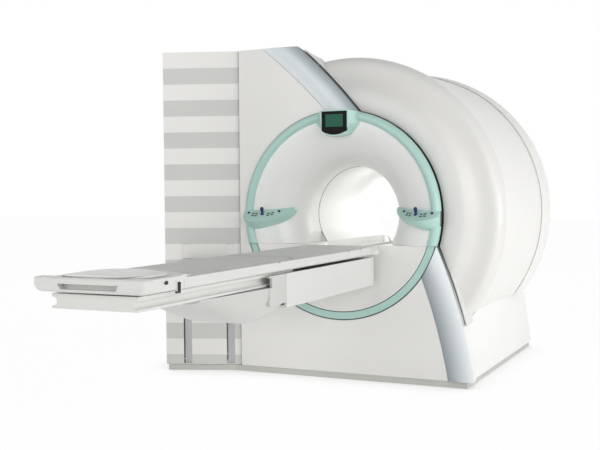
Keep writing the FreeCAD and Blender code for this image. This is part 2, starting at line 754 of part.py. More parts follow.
def make_rear_base():
    """The plate that closes the base at the back."""
    top = BASE_TOP - SEAM
    half = panel_x(PANEL_LOW) - WALL - 1
    narrow = panel_x(top) - WALL - 1
    points = [V(-half, 0, PANEL_LOW), V(half, 0, PANEL_LOW), V(narrow, 0, top), V(-narrow, 0, top)]
    plate = polygon(points).extrude(V(0, WALL, 0))
    plate.translate(V(0, at(MAGNET_LENGTH - 12), 0))
    return plate


def tower_plan(inset, front):
    """The tower's plan, drawn in by an inset, with its turned face set back by its own."""
    turn = math.radians(TOWER_TURN)
    along = V(-math.cos(turn), -math.sin(turn), 0)
    inward = V(-math.sin(turn), math.cos(turn), 0)
    right = V(TOWER_X, at(TOWER_FACE), 0) + inward * (WALL + 0.5)
    left = right + along * TOWER_WIDTH
    slope = math.tan(turn)
    x_left = left.x - 2 + inset
    step = front / math.cos(turn)
    y_left = right.y + (x_left - right.x) * slope + step
    points = [V(x_left, y_left, 0), V(x_left, at(TOWER_BACK) - inset, 0)]
    points += [V(-TOWER_INNER - inset, at(TOWER_BACK) - inset, 0)]
    points += [V(-TOWER_INNER - inset, at(PANEL_DEPTH + 4), 0), V(right.x + 4, at(PANEL_DEPTH + 4), 0)]
    points += [V(right.x + 4, right.y + 4 * slope + step, 0)]
    return points


def make_plinth():
    """The recessed grey plinth under the covers, one strip that stands on the floor."""
    half = BASE_HALF - PLINTH_INSET
    outer = box(-half, half, at(10), at(MAGNET_LENGTH - 14), 0, PLINTH_HEIGHT)
    inner = box(-half + 10, half - 10, at(20), at(MAGNET_LENGTH - 24), -1, PLINTH_HEIGHT + 1)
    tower = polygon(tower_plan(10, 5)).extrude(V(0, 0, PLINTH_HEIGHT))
    tower_hollow = polygon(tower_plan(20, 13)).extrude(V(0, 0, PLINTH_HEIGHT + 2))
    tower_hollow.translate(V(0, 0, -1))
    strip = outer.fuse(tower).cut(inner).cut(tower_hollow)
    return strip.removeSplitter()


def make_base_frame():
    """Two steel skids with saddles that carry the magnet, joined by cross beams."""
    near = CRYOSTAT_FRONT + 15
    far = CRYOSTAT_REAR - 40
    top = BORE_HEIGHT - 560
    skids = [box(s * 520 - 60, s * 520 + 60, at(near), at(far), 0, top) for s in (-1, 1)]
    depths = [near + 30, (near + far) / 2 - 45, far - 120]
    beams = [box(-470, 470, at(d), at(d + 90), 0, FLOOR_GAP - 10) for d in depths]
    frame = skids[0].multiFuse(skids[1:] + beams).removeSplitter()
    return frame.cut(along_bore(CRYOSTAT_R + FIT, 0, MAGNET_LENGTH))


def make_cryostat():
    """The vacuum vessel: an annular steel drum, hollow round the coils."""
    vessel = tube(CRYOSTAT_R, CRYOSTAT_BORE_R, CRYOSTAT_FRONT, CRYOSTAT_REAR)
    hollow = tube(CRYOSTAT_R - 12, CRYOSTAT_BORE_R + 10, CRYOSTAT_FRONT + 25, CRYOSTAT_REAR - 25)
    return vessel.cut(hollow)


def coil_reach():
    """How far the windings reach from the magnet's middle."""
    return (CRYOSTAT_REAR - CRYOSTAT_FRONT) / 2 - 47.5


def make_coils():
    """The superconducting windings: six round coils, closer together towards the ends."""
    middle = (CRYOSTAT_FRONT + CRYOSTAT_REAR) / 2
    coils = []
    for share, half in ((0.15, 45), (0.48, 60), (0.876, 75)):
        for side in (-1, 1):
            centre = middle + side * share * coil_reach()
            coils.append(tube(COIL_R + 60, COIL_R + FIT, centre - half, centre + half))
    return Part.makeCompound(coils)


def make_coil_former():
    """The former on which the coils are wound, with collars between them."""
    middle = (CRYOSTAT_FRONT + CRYOSTAT_REAR) / 2
    reach = coil_reach()
    former = tube(COIL_R, COIL_R - 18, middle - reach - 15, middle + reach + 15)
    for share in (0.0, -0.306, 0.306, -0.664, 0.664):
        depth = middle + share * reach
        former = former.fuse(tube(COIL_R + 30, COIL_R - 5, depth - 14, depth + 14))
    return former.removeSplitter()


def make_bore_tube():
    """The patient tube: a front flange, and a flat channel on each side for the tabletop."""
    depth0 = LIP_DEPTH + 2
    depth1 = MAGNET_LENGTH - (REAR_MOUTH_R - BORE_R) - 82
    inner = along_bore(BORE_R, depth0 - 1, depth1 + 1).fuse(trough(0))
    half = TABLE_HALF + TROUGH_GAP + WALL
    floor = TABLE_LOW - TROUGH_GAP - WALL
    ribs = box(-half, half, at(depth0), at(depth1), floor, LEDGE_HEIGHT + WALL)
    flange = along_bore(BORE_R + 32, depth0, depth0 + WALL)
    outer = along_bore(BORE_R + WALL, depth0, depth1).multiFuse([ribs, flange])
    return outer.cut(inner).removeSplitter()


def make_bore_bed():
    """The fixed bed in the bottom of the bore, with two slide strips for the tabletop."""
    depth0 = LIP_DEPTH + 4
    depth1 = MAGNET_LENGTH - (REAR_MOUTH_R - BORE_R) - 90
    top = TABLE_LOW - TROUGH_GAP - 1
    bed = along_bore(BORE_R - FIT, depth0, depth1).cut(above(top))
    bed = bed.cut(along_bore(BORE_R - 8, depth0 - 1, depth1 + 1).cut(above(top - 10)))
    for x in (-SLIDE_X, SLIDE_X):
        strip = box(x - 9, x + 9, at(depth0), at(depth1), top - 4, TABLE_LOW - FIT)
        bed = bed.fuse(strip)
    return bed.removeSplitter()


# ---------------------------------------------------------------- tower and lift

def in_tower(shape):
    """Set a shape drawn against the tower's front face in its place.

    There X is the distance from the face's right edge and Y the distance in front of it."""
    shape.rotate(V(0, 0, 0), UP, 180 + TOWER_TURN)
    shape.translate(V(TOWER_X, at(TOWER_FACE), 0))
    return shape


def tower_box(s0, s1, d0, d1, z0, z1):
    """A block given by its place on the tower's face."""
    return in_tower(box(s0, s1, d0, d1, z0, z1))


def slot_cuts(gap):
    """The two lift slots through the tower's front."""
    half = SLOT_WIDTH / 2 + gap
    return [tower_box(c - half, c + half, -30, 30, SLOT_BOTTOM, SLOT_TOP) for c in SLOT_CENTRES]


def stripe_boxes():
    """The dark stripes, every other one from the top."""
    stripes = []
    top = COVER_HEIGHT - BAND_STEP
    while top > PLINTH_HEIGHT:
        low = max(top - BAND_STEP, PANEL_LOW)
        stripes.append(tower_box(2, TOWER_WIDTH, -BAND_INLAY, 0, low, top))
        top -= 2 * BAND_STEP
    return stripes


def make_tower_front():
    """The tower's light front panel, with grooves for the stripes and the two slots."""
    panel = tower_box(2, TOWER_WIDTH, -WALL, 0, PANEL_LOW, COVER_HEIGHT)
    for cut in stripe_boxes() + slot_cuts(0):
        panel = panel.cut(cut)
    return panel


def make_tower_stripes():
    """The dark stripes let into the front panel, open where the slots pass."""
    stripes = []
    for stripe in stripe_boxes():
        for cut in slot_cuts(0):
            stripe = stripe.cut(cut)
        stripes += stripe.Solids
    return Part.makeCompound(stripes)


def make_tower_shell():
    """The tower's casing: left side, back, inner side and top, cut to the barrel's curve."""
    outer = polygon(tower_plan(0, 0)).extrude(V(0, 0, COVER_HEIGHT - PANEL_LOW))
    outer.translate(V(0, 0, PANEL_LOW))
    hollow = polygon(tower_plan(WALL, 0)).extrude(V(0, 0, COVER_HEIGHT - PANEL_LOW - WALL))
    hollow.translate(V(0, 0, PANEL_LOW - 1))
    front = tower_box(-40, TOWER_WIDTH + 40, -WALL - 30, 60, 0, COVER_HEIGHT - WALL - 1)
    barrel = along_bore(BARREL_R + 21, BAND_FRAME_DEPTH - 60, MAGNET_LENGTH).cut(base_wedge(-SEAM))
    magnet = along_bore(CRYOSTAT_R + 15, BAND_FRAME_DEPTH - 60, MAGNET_LENGTH)
    return outer.cut(hollow).cut(front.common(hollow)).cut(barrel).cut(magnet)


def make_tower_column():
    """The lift's steel column: foot plate, two posts, cross beam and screw bearings."""
    foot = tower_box(14, 405, -137, -10, 0, 20)
    posts = [tower_box(s, s + 26, -50, -12, 10, COVER_HEIGHT - 100) for s in (14, 379)]
    beam = tower_box(14, 405, -50, -12, SLOT_TOP + 12, SLOT_TOP + 72)
    bearings = [tower_box(SCREW_S - 40, SCREW_S + 40, -137, -40, z, z + 30) for z in (19, SLOT_TOP + 30)]
    column = foot.multiFuse(posts + [beam] + bearings + guide_rails()).removeSplitter()
    bore = in_tower(Part.makeCylinder(SCREW_R + RUNNING, SLOT_TOP + 200, V(SCREW_S, SCREW_D, 10)))
    plinth_room = tower_box(-20, TOWER_WIDTH + 20, -24, 0, -1, PLINTH_HEIGHT + 1)
    return column.cut(bore).cut(plinth_room)


def guide_rails():
    """The two guide rails that show in the slots, each with a groove down its face."""
    rails = []
    for centre in SLOT_CENTRES:
        right = centre - SLOT_WIDTH / 2 + 1
        rail = tower_box(right, right + RAIL_WIDTH, -40, -12, 19, SLOT_TOP + 13)
        groove = tower_box(right + 9, right + RAIL_WIDTH - 9, -16, -11, 20, SLOT_TOP + 12)
        rails.append(rail.cut(groove))
    return rails


def web_place(centre):
    """Where an arm's web passes a rail: the narrow gap at the slot's left side."""
    left = centre + SLOT_WIDTH / 2 - 1.6
    return left - WEB, left


def make_lift_carriage():
    """The carriage behind the face: plate, shoes behind the rails and the screw's nut."""
    s0 = web_place(SLOT_CENTRES[0])[0]
    s1 = web_place(SLOT_CENTRES[1])[1]
    plate = tower_box(s0, s1, -64, -48, BEAM_BOTTOM - 15, BEAM_TOP + 2)
    shoe_s = SLOT_CENTRES[1] - SLOT_WIDTH / 2 + 1
    shoe = tower_box(shoe_s, shoe_s + RAIL_WIDTH, -49, -40 - FIT, BEAM_BOTTOM + 5, BEAM_TOP - 18)
    nut = tower_box(SCREW_S - 32, SCREW_S + 32, -137, -60, BEAM_BOTTOM + 35, BEAM_TOP - 48)
    bore = in_tower(Part.makeCylinder(SCREW_R + RUNNING, 2 * BEAM_HEIGHT, V(SCREW_S, SCREW_D, BEAM_BOTTOM - 75)))
    return plate.multiFuse([shoe, nut]).removeSplitter().cut(bore)


def make_lift_screw():
    """The lift screw: a plain-ended spindle with a collar under its upper bearing."""
    screw = Part.makeCylinder(SCREW_R, SLOT_TOP + 100 - 22, V(SCREW_S, SCREW_D, 22))
    collar = Part.makeCylinder(SCREW_R + 8, 12, V(SCREW_S, SCREW_D, SLOT_TOP + 17))
    return in_tower(screw.fuse(collar).removeSplitter())


def make_lift_motor():
    """The lift motor above the screw, with its gear case and cooling ribs."""
    base = SLOT_TOP + 60
    motor = Part.makeCylinder(52, 70, V(SCREW_S, SCREW_D, base))
    body = Part.makeCylinder(44, 170, V(SCREW_S, SCREW_D, base + 69))
    ribs = [Part.makeCylinder(52, 6, V(SCREW_S, SCREW_D, base + 85 + 24 * i)) for i in range(6)]
    socket = Part.makeCylinder(SCREW_R + 0.5, 60, V(SCREW_S, SCREW_D, base - 1))
    return in_tower(motor.multiFuse([body] + ribs).removeSplitter().cut(socket))


def make_slot_shutters():
    """The two plates that close the slots round the arms and travel with them."""
    shutters = []
    half = SLOT_WIDTH / 2 - 1
    for centre in SLOT_CENTRES:
        low = BEAM_BOTTOM - 75
        shutters.append(tower_box(centre - half, centre + half, -6, -1, low, SLOT_TOP - 2))
    return Part.makeCompound(shutters).cut(make_lift_arm())


def make_lift_arm():
    """The cast arm from the tower's two slots to the side of the table beam."""
    low, high = BEAM_BOTTOM + 25, BEAM_TOP - 28
    prongs = []
    for centre in SLOT_CENTRES:
        s0, s1 = web_place(centre)
        prongs.append(tower_box(s0, s1, -48, 30, low + 10, high - 10))
        prongs.append(tower_box(centre - 22, centre + 22, -2, 62, low, high))
    a = in_tower(Part.Vertex(SLOT_CENTRES[1] + 24, 40, 0)).Point
    b = in_tower(Part.Vertex(SLOT_CENTRES[0] - 24, 40, 0)).Point
    c = V(-TABLE_HALF, at(-420), 0)
    d = V(-TABLE_HALF, at(-1180), 0)
    edges = [edge(a, b), arc(b, V(-500, at(-265), 0), c), edge(c, d), arc(d, V(-565, at(-585), 0), a)]
    arm = Part.Face(Part.Wire(edges)).extrude(V(0, 0, high - low))
    arm.translate(V(0, 0, low))
    return arm.multiFuse(prongs).removeSplitter()


# ---------------------------------------------------------------- table

def rounded_plan(half, y0, y1, r):
    """A plan outline with its two far corners rounded."""
    k = r * (1 - math.sqrt(0.5))
    edges = [edge(V(-half, y0, 0), V(half, y0, 0)), edge(V(half, y0, 0), V(half, y1 - r, 0))]
    edges.append(arc(V(half, y1 - r, 0), V(half - k, y1 - k, 0), V(half - r, y1, 0)))
    edges.append(edge(V(half - r, y1, 0), V(-half + r, y1, 0)))
    edges.append(arc(V(-half + r, y1, 0), V(-half + k, y1 - k, 0), V(-half, y1 - r, 0)))
    edges.append(edge(V(-half, y1 - r, 0), V(-half, y0, 0)))
    return Part.Face(Part.Wire(edges))


def make_table_beam():
    """The lift table's beam: an open trough with rounded far corners and inner ledges."""
    near = at(BEAM_NEAR)
    far = at(BEAM_FAR)
    beam = rounded_plan(TABLE_HALF, near, far, 34).extrude(V(0, 0, BEAM_TOP - BEAM_BOTTOM))
    hollow = rounded_plan(TABLE_HALF - 12, near - 1, far - 12, 22).extrude(V(0, 0, BEAM_TOP))
    beam.translate(V(0, 0, BEAM_BOTTOM))
    hollow.translate(V(0, 0, BEAM_BOTTOM + 12))
    beam = beam.cut(hollow)
    for side in (-1, 1):
        x0, x1 = sorted((side * (TROLLEY_HALF - 14), side * (TABLE_HALF - 11)))
        beam = beam.fuse(box(x0, x1, near, far - 82, TROLLEY_BOTTOM - 18, TROLLEY_BOTTOM - FIT))
    beam = beam.fuse(box(-200, 200, far - 90, far - 11, BEAM_TOP - 38, BEAM_TOP))
    for x in (-SLIDE_X, SLIDE_X):
        beam = beam.fuse(box(x - 9, x + 9, far - 90, far - 12, BEAM_TOP - 2, TABLE_LOW - FIT))
    z = SHAFT_Z
    idler = at(PULLEY_DEPTHS[1])
    beam = beam.fuse(box(18, 30, idler - 16, idler + 16, BEAM_BOTTOM + 11, z + 14))
    beam = beam.fuse(Part.makeCylinder(SHAFT_R, 38, V(-18, idler, z), V(1, 0, 0)))
    return beam.removeSplitter()


def cradle_section(depth, half, side_z, bottom, flat):
    """A section of the cradle: flat top, upright sides, rounded belly."""
    y = at(depth)
    top = TROLLEY_BOTTOM - 4
    k = 0.35
    corners = [V(-half, y, top), V(half, y, top), V(half, y, side_z), V(flat, y, bottom)]
    corners += [V(-flat, y, bottom), V(-half, y, side_z)]
    mid_x = half - (half - flat) * k
    mid_z = bottom + (side_z - bottom) * k
    edges = [edge(corners[0], corners[1]), edge(corners[1], corners[2])]
    edges.append(arc(corners[2], V(mid_x, y, mid_z), corners[3]))
    edges.append(edge(corners[3], corners[4]))
    edges.append(arc(corners[4], V(-mid_x, y, mid_z), corners[5]))
    edges.append(edge(corners[5], corners[0]))
    return Part.Wire(edges)


def make_cradle():
    """The bowl-shaped cradle under the table, deepest behind the beam's near end."""
    last = CRADLE_NEAR + 260
    sections = [
        cradle_section(BEAM_NEAR - SEAM, TABLE_HALF, TROLLEY_BOTTOM - 32, BEAM_BOTTOM - 8, 175),
        cradle_section(BEAM_NEAR - 190, TABLE_HALF - 4, TROLLEY_BOTTOM - 25, CRADLE_BOTTOM, 120),
        cradle_section(last, TABLE_HALF - 25, TROLLEY_BOTTOM - 15, BEAM_BOTTOM + 5, 100),
        cradle_section(CRADLE_NEAR, TABLE_HALF - 50, TROLLEY_BOTTOM - 10, TROLLEY_BOTTOM - 23, 120),
    ]
    bowl = Part.makeLoft(sections, True, False)
    cheeks = []
    for side in (-1, 1):
        x0, x1 = sorted((side * (TABLE_HALF - 12), side * TABLE_HALF))
        cheek = box(x0, x1, at(BEAM_NEAR - 175), at(BEAM_NEAR - SEAM), BEAM_BOTTOM + 25, BEAM_TOP)
        step = box(x0 - 1, x1 + 1, at(BEAM_NEAR - 176), at(BEAM_NEAR - 150), TROLLEY_BOTTOM - 3, BEAM_TOP - 8)
        cheeks.append(cheek.cut(step))
    return bowl.multiFuse(cheeks).removeSplitter()


def trolley_outline(y):
    """The trolley's extruded section: two flanges with hollowed sides between them."""
    half = TROLLEY_HALF
    waist = half - 24
    low = TROLLEY_BOTTOM
    high = TROLLEY_TOP
    middle = (low + high) / 2
    right = [V(half, y, low), V(half, y, low + 10), V(waist, y, middle - 2), V(half, y, high - 14), V(half, y, high)]
    left = [V(-p.x, y, p.z) for p in right]
    edges = [edge(right[0], right[1]), arc(right[1], right[2], right[3]), edge(right[3], right[4])]
    edges += [edge(right[4], left[4]), edge(left[4], left[3]), arc(left[3], left[2], left[1])]
    edges += [edge(left[1], left[0]), edge(left[0], right[0])]
    return Part.Face(Part.Wire(edges))


def make_trolley():
    """The trolley under the tabletop: a hollow extrusion with an end plate and slide strips."""
    near = at(TROLLEY_NEAR)
    far = at(TROLLEY_FAR)
    body = trolley_outline(near).extrude(V(0, far - near, 0))
    for x in (-112, 0, 112):
        body = body.cut(box(x - 50, x + 50, near + 8, far + 1, TROLLEY_BOTTOM + 8, TROLLEY_TOP - 8))
    for x in (-SLIDE_X, SLIDE_X):
        strip = box(x - 9, x + 9, near + 260, far, TROLLEY_TOP - 1, TABLE_LOW - FIT)
        body = body.fuse(strip)
    clamp = box(-14, 14, far - 45, far - 10, SHAFT_Z + PULLEY_R + 3 + FIT, TROLLEY_BOTTOM + 1)
    return body.fuse(clamp).removeSplitter()


def make_tabletop():
    """The tray that carries the patient: floor, raised side rails with notches."""
    half = TABLE_HALF
    top = TABLE_TOP
    low = TABLE_LOW
    floor = low + 18
    right = [(half - TRAY_WALL, top), (half, top), (half, low + 8), (half - 7, low)]
    left = [(-x, z) for x, z in reversed(right)]
    inner = [(-half + TRAY_WALL + 4, floor), (half - TRAY_WALL - 4, floor)]
    y = at(TABLE_NEAR)
    outline = [V(x, y, z) for x, z in right + left + inner]
    tray = polygon(outline).extrude(V(0, at(TABLE_FAR) - y, 0))
    for depth in (-1275, -430, -245):
        tray = tray.cut(box(-half - 1, half + 1, at(depth), at(depth + 22), top - 5, top + 1))
    return tray


def mattress(depth0, depth1):
    """One mattress section: flat below, sides drawn in, top crowned across and at its ends."""
    base = TABLE_LOW + 18
    half = TABLE_HALF - TRAY_WALL - 5
    sections = []
    ends = [(0, 12.0, 8.0), (6, 6.0, 3.5), (18, 2.0, 1.0), (45, 0.0, 0.0)]
    steps = [(depth0 + run, drop, draw) for run, drop, draw in ends]
    steps += [(depth1 - run, drop, draw) for run, drop, draw in reversed(ends)]
    for depth, drop, draw in steps:
        y = at(depth)
        w = half - 4 - draw
        side_top = MATTRESS_TOP - 7 - drop
        low = [V(-w, y, base), V(w, y, base)]
        bulge = (base + side_top) / 2
        edges = [edge(low[0], low[1]), arc(low[1], V(w + 2.5, y, bulge), V(w - 2, y, side_top))]
        edges.append(arc(V(w - 2, y, side_top), V(0, y, MATTRESS_TOP - drop), V(-w + 2, y, side_top)))
        edges.append(arc(V(-w + 2, y, side_top), V(-w - 2.5, y, bulge), low[0]))
        sections.append(Part.Wire(edges))
    return Part.makeLoft(sections, True, True)


def end_outline(half, near, far, r, z):
    """The end piece's outline at one height, with rounded near corners and a bowed front."""
    k = r * (1 - math.sqrt(0.5))
    y0, y1 = at(near), at(far)
    edges = [edge(V(half, y1, z), V(-half, y1, z)), edge(V(-half, y1, z), V(-half, y0 + r, z))]
    edges.append(arc(V(-half, y0 + r, z), V(-half + k, y0 + k, z), V(-half + r, y0, z)))
    edges.append(arc(V(-half + r, y0, z), V(0, y0 - 3, z), V(half - r, y0, z)))
    edges.append(arc(V(half - r, y0, z), V(half - k, y0 + k, z), V(half, y0 + r, z)))
    edges.append(edge(V(half, y0 + r, z), V(half, y1, z)))
    return Part.Wire(edges)


def end_crown(grip):
    """The end piece's crowned top, whose tongue covers the near end of the tray."""
    w = TABLE_HALF - TRAY_WALL - 10
    y = at(grip - 1)
    low = TABLE_LOW + 18 + FIT
    edges = [edge(V(-w, y, low), V(w, y, low)), edge(V(w, y, low), V(w, y, TABLE_TOP + 6))]
    edges.append(arc(V(w, y, TABLE_TOP + 6), V(0, y, TABLE_TOP + 16), V(-w, y, TABLE_TOP + 6)))
    edges.append(edge(V(-w, y, TABLE_TOP + 6), V(-w, y, low)))
    return Part.Face(Part.Wire(edges)).extrude(V(0, at(TABLE_NEAR + END_TONGUE) - y, 0))


def make_end_handle():
    """The table's end piece: a bulging grip with a hand slot and a hollow on top."""
    grip = END_NOSE + 58
    heights = [(-42, 22, 14), (-34, 9, 4), (-14, 0, 0), (8, 0, 0), (14, 3, 3), (16, 9, 9)]
    sections = []
    for rise, draw, back in heights:
        sections.append(end_outline(END_HALF - draw, END_NOSE + 3 + back, grip, 16, TABLE_TOP + rise))
    cap = Part.makeLoft(sections, True, True)
    body = box(-TABLE_HALF, TABLE_HALF, at(grip - 1), at(TABLE_NEAR - 2), TABLE_LOW + 2, TABLE_TOP + FIT)
    bars = []
    for side in (-1, 1):
        x0, x1 = sorted((side * (TABLE_HALF - 21), side * (TABLE_HALF + 3)))
        bars.append(box(x0, x1, at(grip - 1), at(TABLE_NEAR - 2), TABLE_TOP - 6, TABLE_TOP + 10))
        bars.append(box(x0, x1, at(TABLE_NEAR - 24), at(TABLE_NEAR + 14), TABLE_TOP + FIT, TABLE_TOP + 13))
    cap = cap.multiFuse([body, end_crown(grip)] + bars).removeSplitter()
    slot = [V(-140, 0, -8), V(140, 0, -8), V(128, 0, -30), V(-128, 0, -30)]
    slot_cut = polygon([p + V(0, at(END_NOSE - 10), TABLE_TOP) for p in slot]).extrude(V(0, 48, 0))
    hollow = box(-145, 145, at(END_NOSE + 18), at(END_NOSE + 52), TABLE_TOP + 7, TABLE_TOP + 60)
    x0, y, z = button_axis()
    button_hole = Part.makeCylinder(7 + FIT, 40, V(x0 - 5, y, z), V(1, 0, 0))
    return cap.cut(slot_cut).cut(hollow).cut(button_hole)


def make_latch():
    """A hook-shaped latch beside the rail, which turns about its upper end."""
    y = at(-2142)
    z = TABLE_TOP - 19
    x0 = TABLE_HALF + 1
    x1 = TABLE_HALF + 8
    eye = Part.makeCylinder(7, x1 - x0, V(x0, y, z), V(1, 0, 0))
    bar = box(x0, x1, y - 5, y + 5, z - 30, z)
    foot = box(x0, x1, y - 26, y + 5, z - 36, z - 28)
    return eye.multiFuse([bar, foot]).removeSplitter()


def button_axis():
    """Where the release button's inner end sits in the end piece."""
    return TABLE_HALF - 10, at(-2233), TABLE_TOP - 8


def make_release_button():
    """A round release button in the end piece's side."""
    x0, y, z = button_axis()
    return Part.makeCylinder(7, 19, V(x0, y, z), V(1, 0, 0))


def make_pulley(depth):
    """A flat belt pulley with two flanges, on a cross axis inside the beam."""
    z = SHAFT_Z
    pulley = Part.makeCylinder(PULLEY_R, 26, V(-13, at(depth), z), V(1, 0, 0))
    flanges = [Part.makeCylinder(PULLEY_R + 4, 2, V(x, at(depth), z), V(1, 0, 0)) for x in (-15, 13)]
    bore = Part.makeCylinder(SHAFT_R + RUNNING, 60, V(-30, at(depth), z), V(1, 0, 0))
    return pulley.multiFuse(flanges).removeSplitter().cut(bore)


def belt_loop(r):
    """A belt's round-ended outline in side view, filled."""
    z = SHAFT_Z
    y0, y1 = [at(d) for d in PULLEY_DEPTHS]
    edges = [edge(V(0, y0, z + r), V(0, y1, z + r)), arc(V(0, y1, z + r), V(0, y1 + r, z), V(0, y1, z - r))]
    edges += [edge(V(0, y1, z - r), V(0, y0, z - r)), arc(V(0, y0, z - r), V(0, y0 - r, z), V(0, y0, z + r))]
    return Part.Face(Part.Wire(edges))


def make_belt():
    """The flat drive belt round both pulleys."""
    outer = belt_loop(PULLEY_R + 3).extrude(V(24, 0, 0))
    inner = belt_loop(PULLEY_R + FIT).extrude(V(24, 0, 0))
    belt = outer.cut(inner)
    belt.translate(V(-12, 0, 0))
    return belt


def make_slide_motor():
    """The table drive's motor on its foot, with the shaft that carries the drive pulley."""
    z = SHAFT_Z
    near = at(PULLEY_DEPTHS[0])
    motor = Part.makeCylinder(34, 130, V(45, near, z), V(1, 0, 0))
    shaft = Part.makeCylinder(SHAFT_R, 64, V(-18, near, z), V(1, 0, 0))
    foot = box(60, 160, near - 30, near + 30, BEAM_BOTTOM + 12, z - 20)
    return motor.multiFuse([shaft, foot]).removeSplitter()


def main():
    os.makedirs("parts", exist_ok=True)
    wings = {-1: make_wing(-1), 1: make_wing(1)}
    blanks = {-1: wing_solid(-1), 1: wing_solid(1)}
    housing, bezel, screen = make_display()
    save("front_panel", make_front_panel())
    upper, lower = upper_lower(band_sweep(band_profile()))
    save("silver_band_upper", upper)
    save("silver_band_lower", lower)
    save("band_frame", make_band_frame())
    save("ring_frame", make_ring_frame())
    save("ring_bead", make_ring_bead([blanks[-1], blanks[1], display_solid()]))
    save("ring_stripe", make_ring_stripe())
    save("bore_funnel", make_funnel())
    save("front_insert", make_front_insert())
    for side, name in ((-1, "left"), (1, "right")):
        save("wing_" + name, wings[side])
        save("keys_" + name, key_pad(side, 0))
        save("control_knob_" + name, make_knob(side))
        for place, where in zip(button_places(blanks[side], side), ("outer", "inner")):
            save("button_" + name + "_" + where, make_button(place))
    save("display_housing", housing)
    save("display_bezel", bezel)
    save("display_screen", screen)
    shoulder, barrel = make_covers()
    save("front_barrel_cover", shoulder)
    save("rear_barrel_cover", barrel)
    save("rear_cover", make_rear_cover())
    save("rear_funnel", make_rear_funnel())
    save("side_panel_right", make_side_panel(1, CHAMFER_DEPTH))
    save("side_panel_left", make_side_panel(-1, TOWER_BACK + SEAM))
    save("rear_base_panel", make_rear_base())
    save("plinth", make_plinth())
    save("base_frame", make_base_frame())
    save("cryostat", make_cryostat())
    save("magnet_coils", make_coils())
    save("coil_former", make_coil_former())
    save("gradient_coil", tube(GRADIENT_R, GRADIENT_R - GRADIENT_WALL, CRYOSTAT_FRONT + 40, CRYOSTAT_REAR - 40))
    save("body_coil", tube(BODY_COIL_R, BODY_COIL_R - BODY_COIL_WALL, 400, MAGNET_LENGTH - 320))
    save("bore_tube", make_bore_tube())
    save("bore_bed", make_bore_bed())
    save("tower_front", make_tower_front())
    save("tower_stripes", make_tower_stripes())
    save("tower_shell", make_tower_shell())
    save("tower_column", make_tower_column())
    save("lift_motor", make_lift_motor())
    save("lift_screw", make_lift_screw())
    save("lift_carriage", make_lift_carriage())
    save("slot_shutters", make_slot_shutters())
    save("lift_arm", make_lift_arm())
    save("table_beam", make_table_beam())
    save("cradle", make_cradle())
    save("trolley", make_trolley())
    save("tabletop", make_tabletop())
    save("mattress_foot", mattress(TABLE_NEAR + END_TONGUE + 3, MATTRESS_SPLIT - 1))
    save("mattress_head", mattress(MATTRESS_SPLIT + 1, TABLE_FAR - 8))
    save("end_handle", make_end_handle())
    save("latch", make_latch())
    save("release_button", make_release_button())
    save("drive_pulley", make_pulley(PULLEY_DEPTHS[0]))
    save("idler_pulley", make_pulley(PULLEY_DEPTHS[1]))
    save("drive_belt", make_belt())
    save("slide_motor", make_slide_motor())


main()
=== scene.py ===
# %% [markdown]
# # A tunnel scanner in a white studio
#
# The machine is a round magnet in moulded covers, with a mint green ring round its mouth, a silver band
# that sweeps across its front, a striped tower, and a long patient table on a cast arm. Its solids come
# in as a fixed frame. This lesson gives them their finishes, adds the soft and thin pieces that a solid
# model leaves plain, and lights everything as a catalogue picture.

# %% Load the frame
import json
import math

import bpy
from mathutils import Euler, Matrix, Vector


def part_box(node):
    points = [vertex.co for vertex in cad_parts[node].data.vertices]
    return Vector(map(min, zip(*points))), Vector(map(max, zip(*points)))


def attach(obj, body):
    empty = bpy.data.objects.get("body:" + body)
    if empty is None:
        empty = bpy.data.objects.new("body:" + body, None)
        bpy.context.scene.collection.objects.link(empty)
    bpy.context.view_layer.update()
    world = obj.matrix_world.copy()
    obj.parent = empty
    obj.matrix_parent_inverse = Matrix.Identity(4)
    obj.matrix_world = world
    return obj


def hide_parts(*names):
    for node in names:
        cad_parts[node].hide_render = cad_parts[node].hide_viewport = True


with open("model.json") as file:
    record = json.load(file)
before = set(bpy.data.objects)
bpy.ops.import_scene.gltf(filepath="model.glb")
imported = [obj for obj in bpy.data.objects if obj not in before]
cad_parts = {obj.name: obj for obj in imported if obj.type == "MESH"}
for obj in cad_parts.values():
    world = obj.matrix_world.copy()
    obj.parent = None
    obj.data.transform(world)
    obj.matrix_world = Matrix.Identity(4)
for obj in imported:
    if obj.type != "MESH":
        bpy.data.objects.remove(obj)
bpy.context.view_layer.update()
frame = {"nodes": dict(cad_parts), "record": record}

nodes = frame["nodes"]

# %% [markdown]
# ## The camera
#
# The picture was taken from the right of the table, at about the eye height of a seated person. The
# place and the turn below were solved from straight edges and circles of the machine, so each piece
# lands where it does in the photograph. A long lens keeps the barrel from bulging.

# %% Camera
IMAGE_WIDTH = 600
FOCAL_PIXELS = 967.73
SENSOR_WIDTH = 36.0
CAMERA_PLACE = (2.2524, -6.1599, 1.1353)
YAW, PITCH, ROLL = 25.28, -2.093, -0.480

camera = bpy.data.objects.new("camera", bpy.data.cameras.new("camera"))
bpy.context.scene.collection.objects.link(camera)
bpy.context.scene.camera = camera
camera.data.sensor_width = SENSOR_WIDTH
camera.data.lens = FOCAL_PIXELS / IMAGE_WIDTH * camera.data.sensor_width
yaw, pitch, roll = math.radians(YAW), math.radians(PITCH), math.radians(ROLL)
turn = Euler((math.pi / 2 + pitch, 0.0, yaw)).to_matrix().to_4x4() @ Matrix.Rotation(roll, 4, "Z")
camera.matrix_world = Matrix.Translation(CAMERA_PLACE) @ turn
camera.data.clip_end = 60.0
print("camera lens", round(camera.data.lens, 2), "mm")

# %% [markdown]
# ## Shader arithmetic
#
# A finish is a small sum: a colour, plus a little noise, times a mask. Written as plain expressions it
# reads like one. The class below wraps a socket, and an operator on it adds the matching Math node.


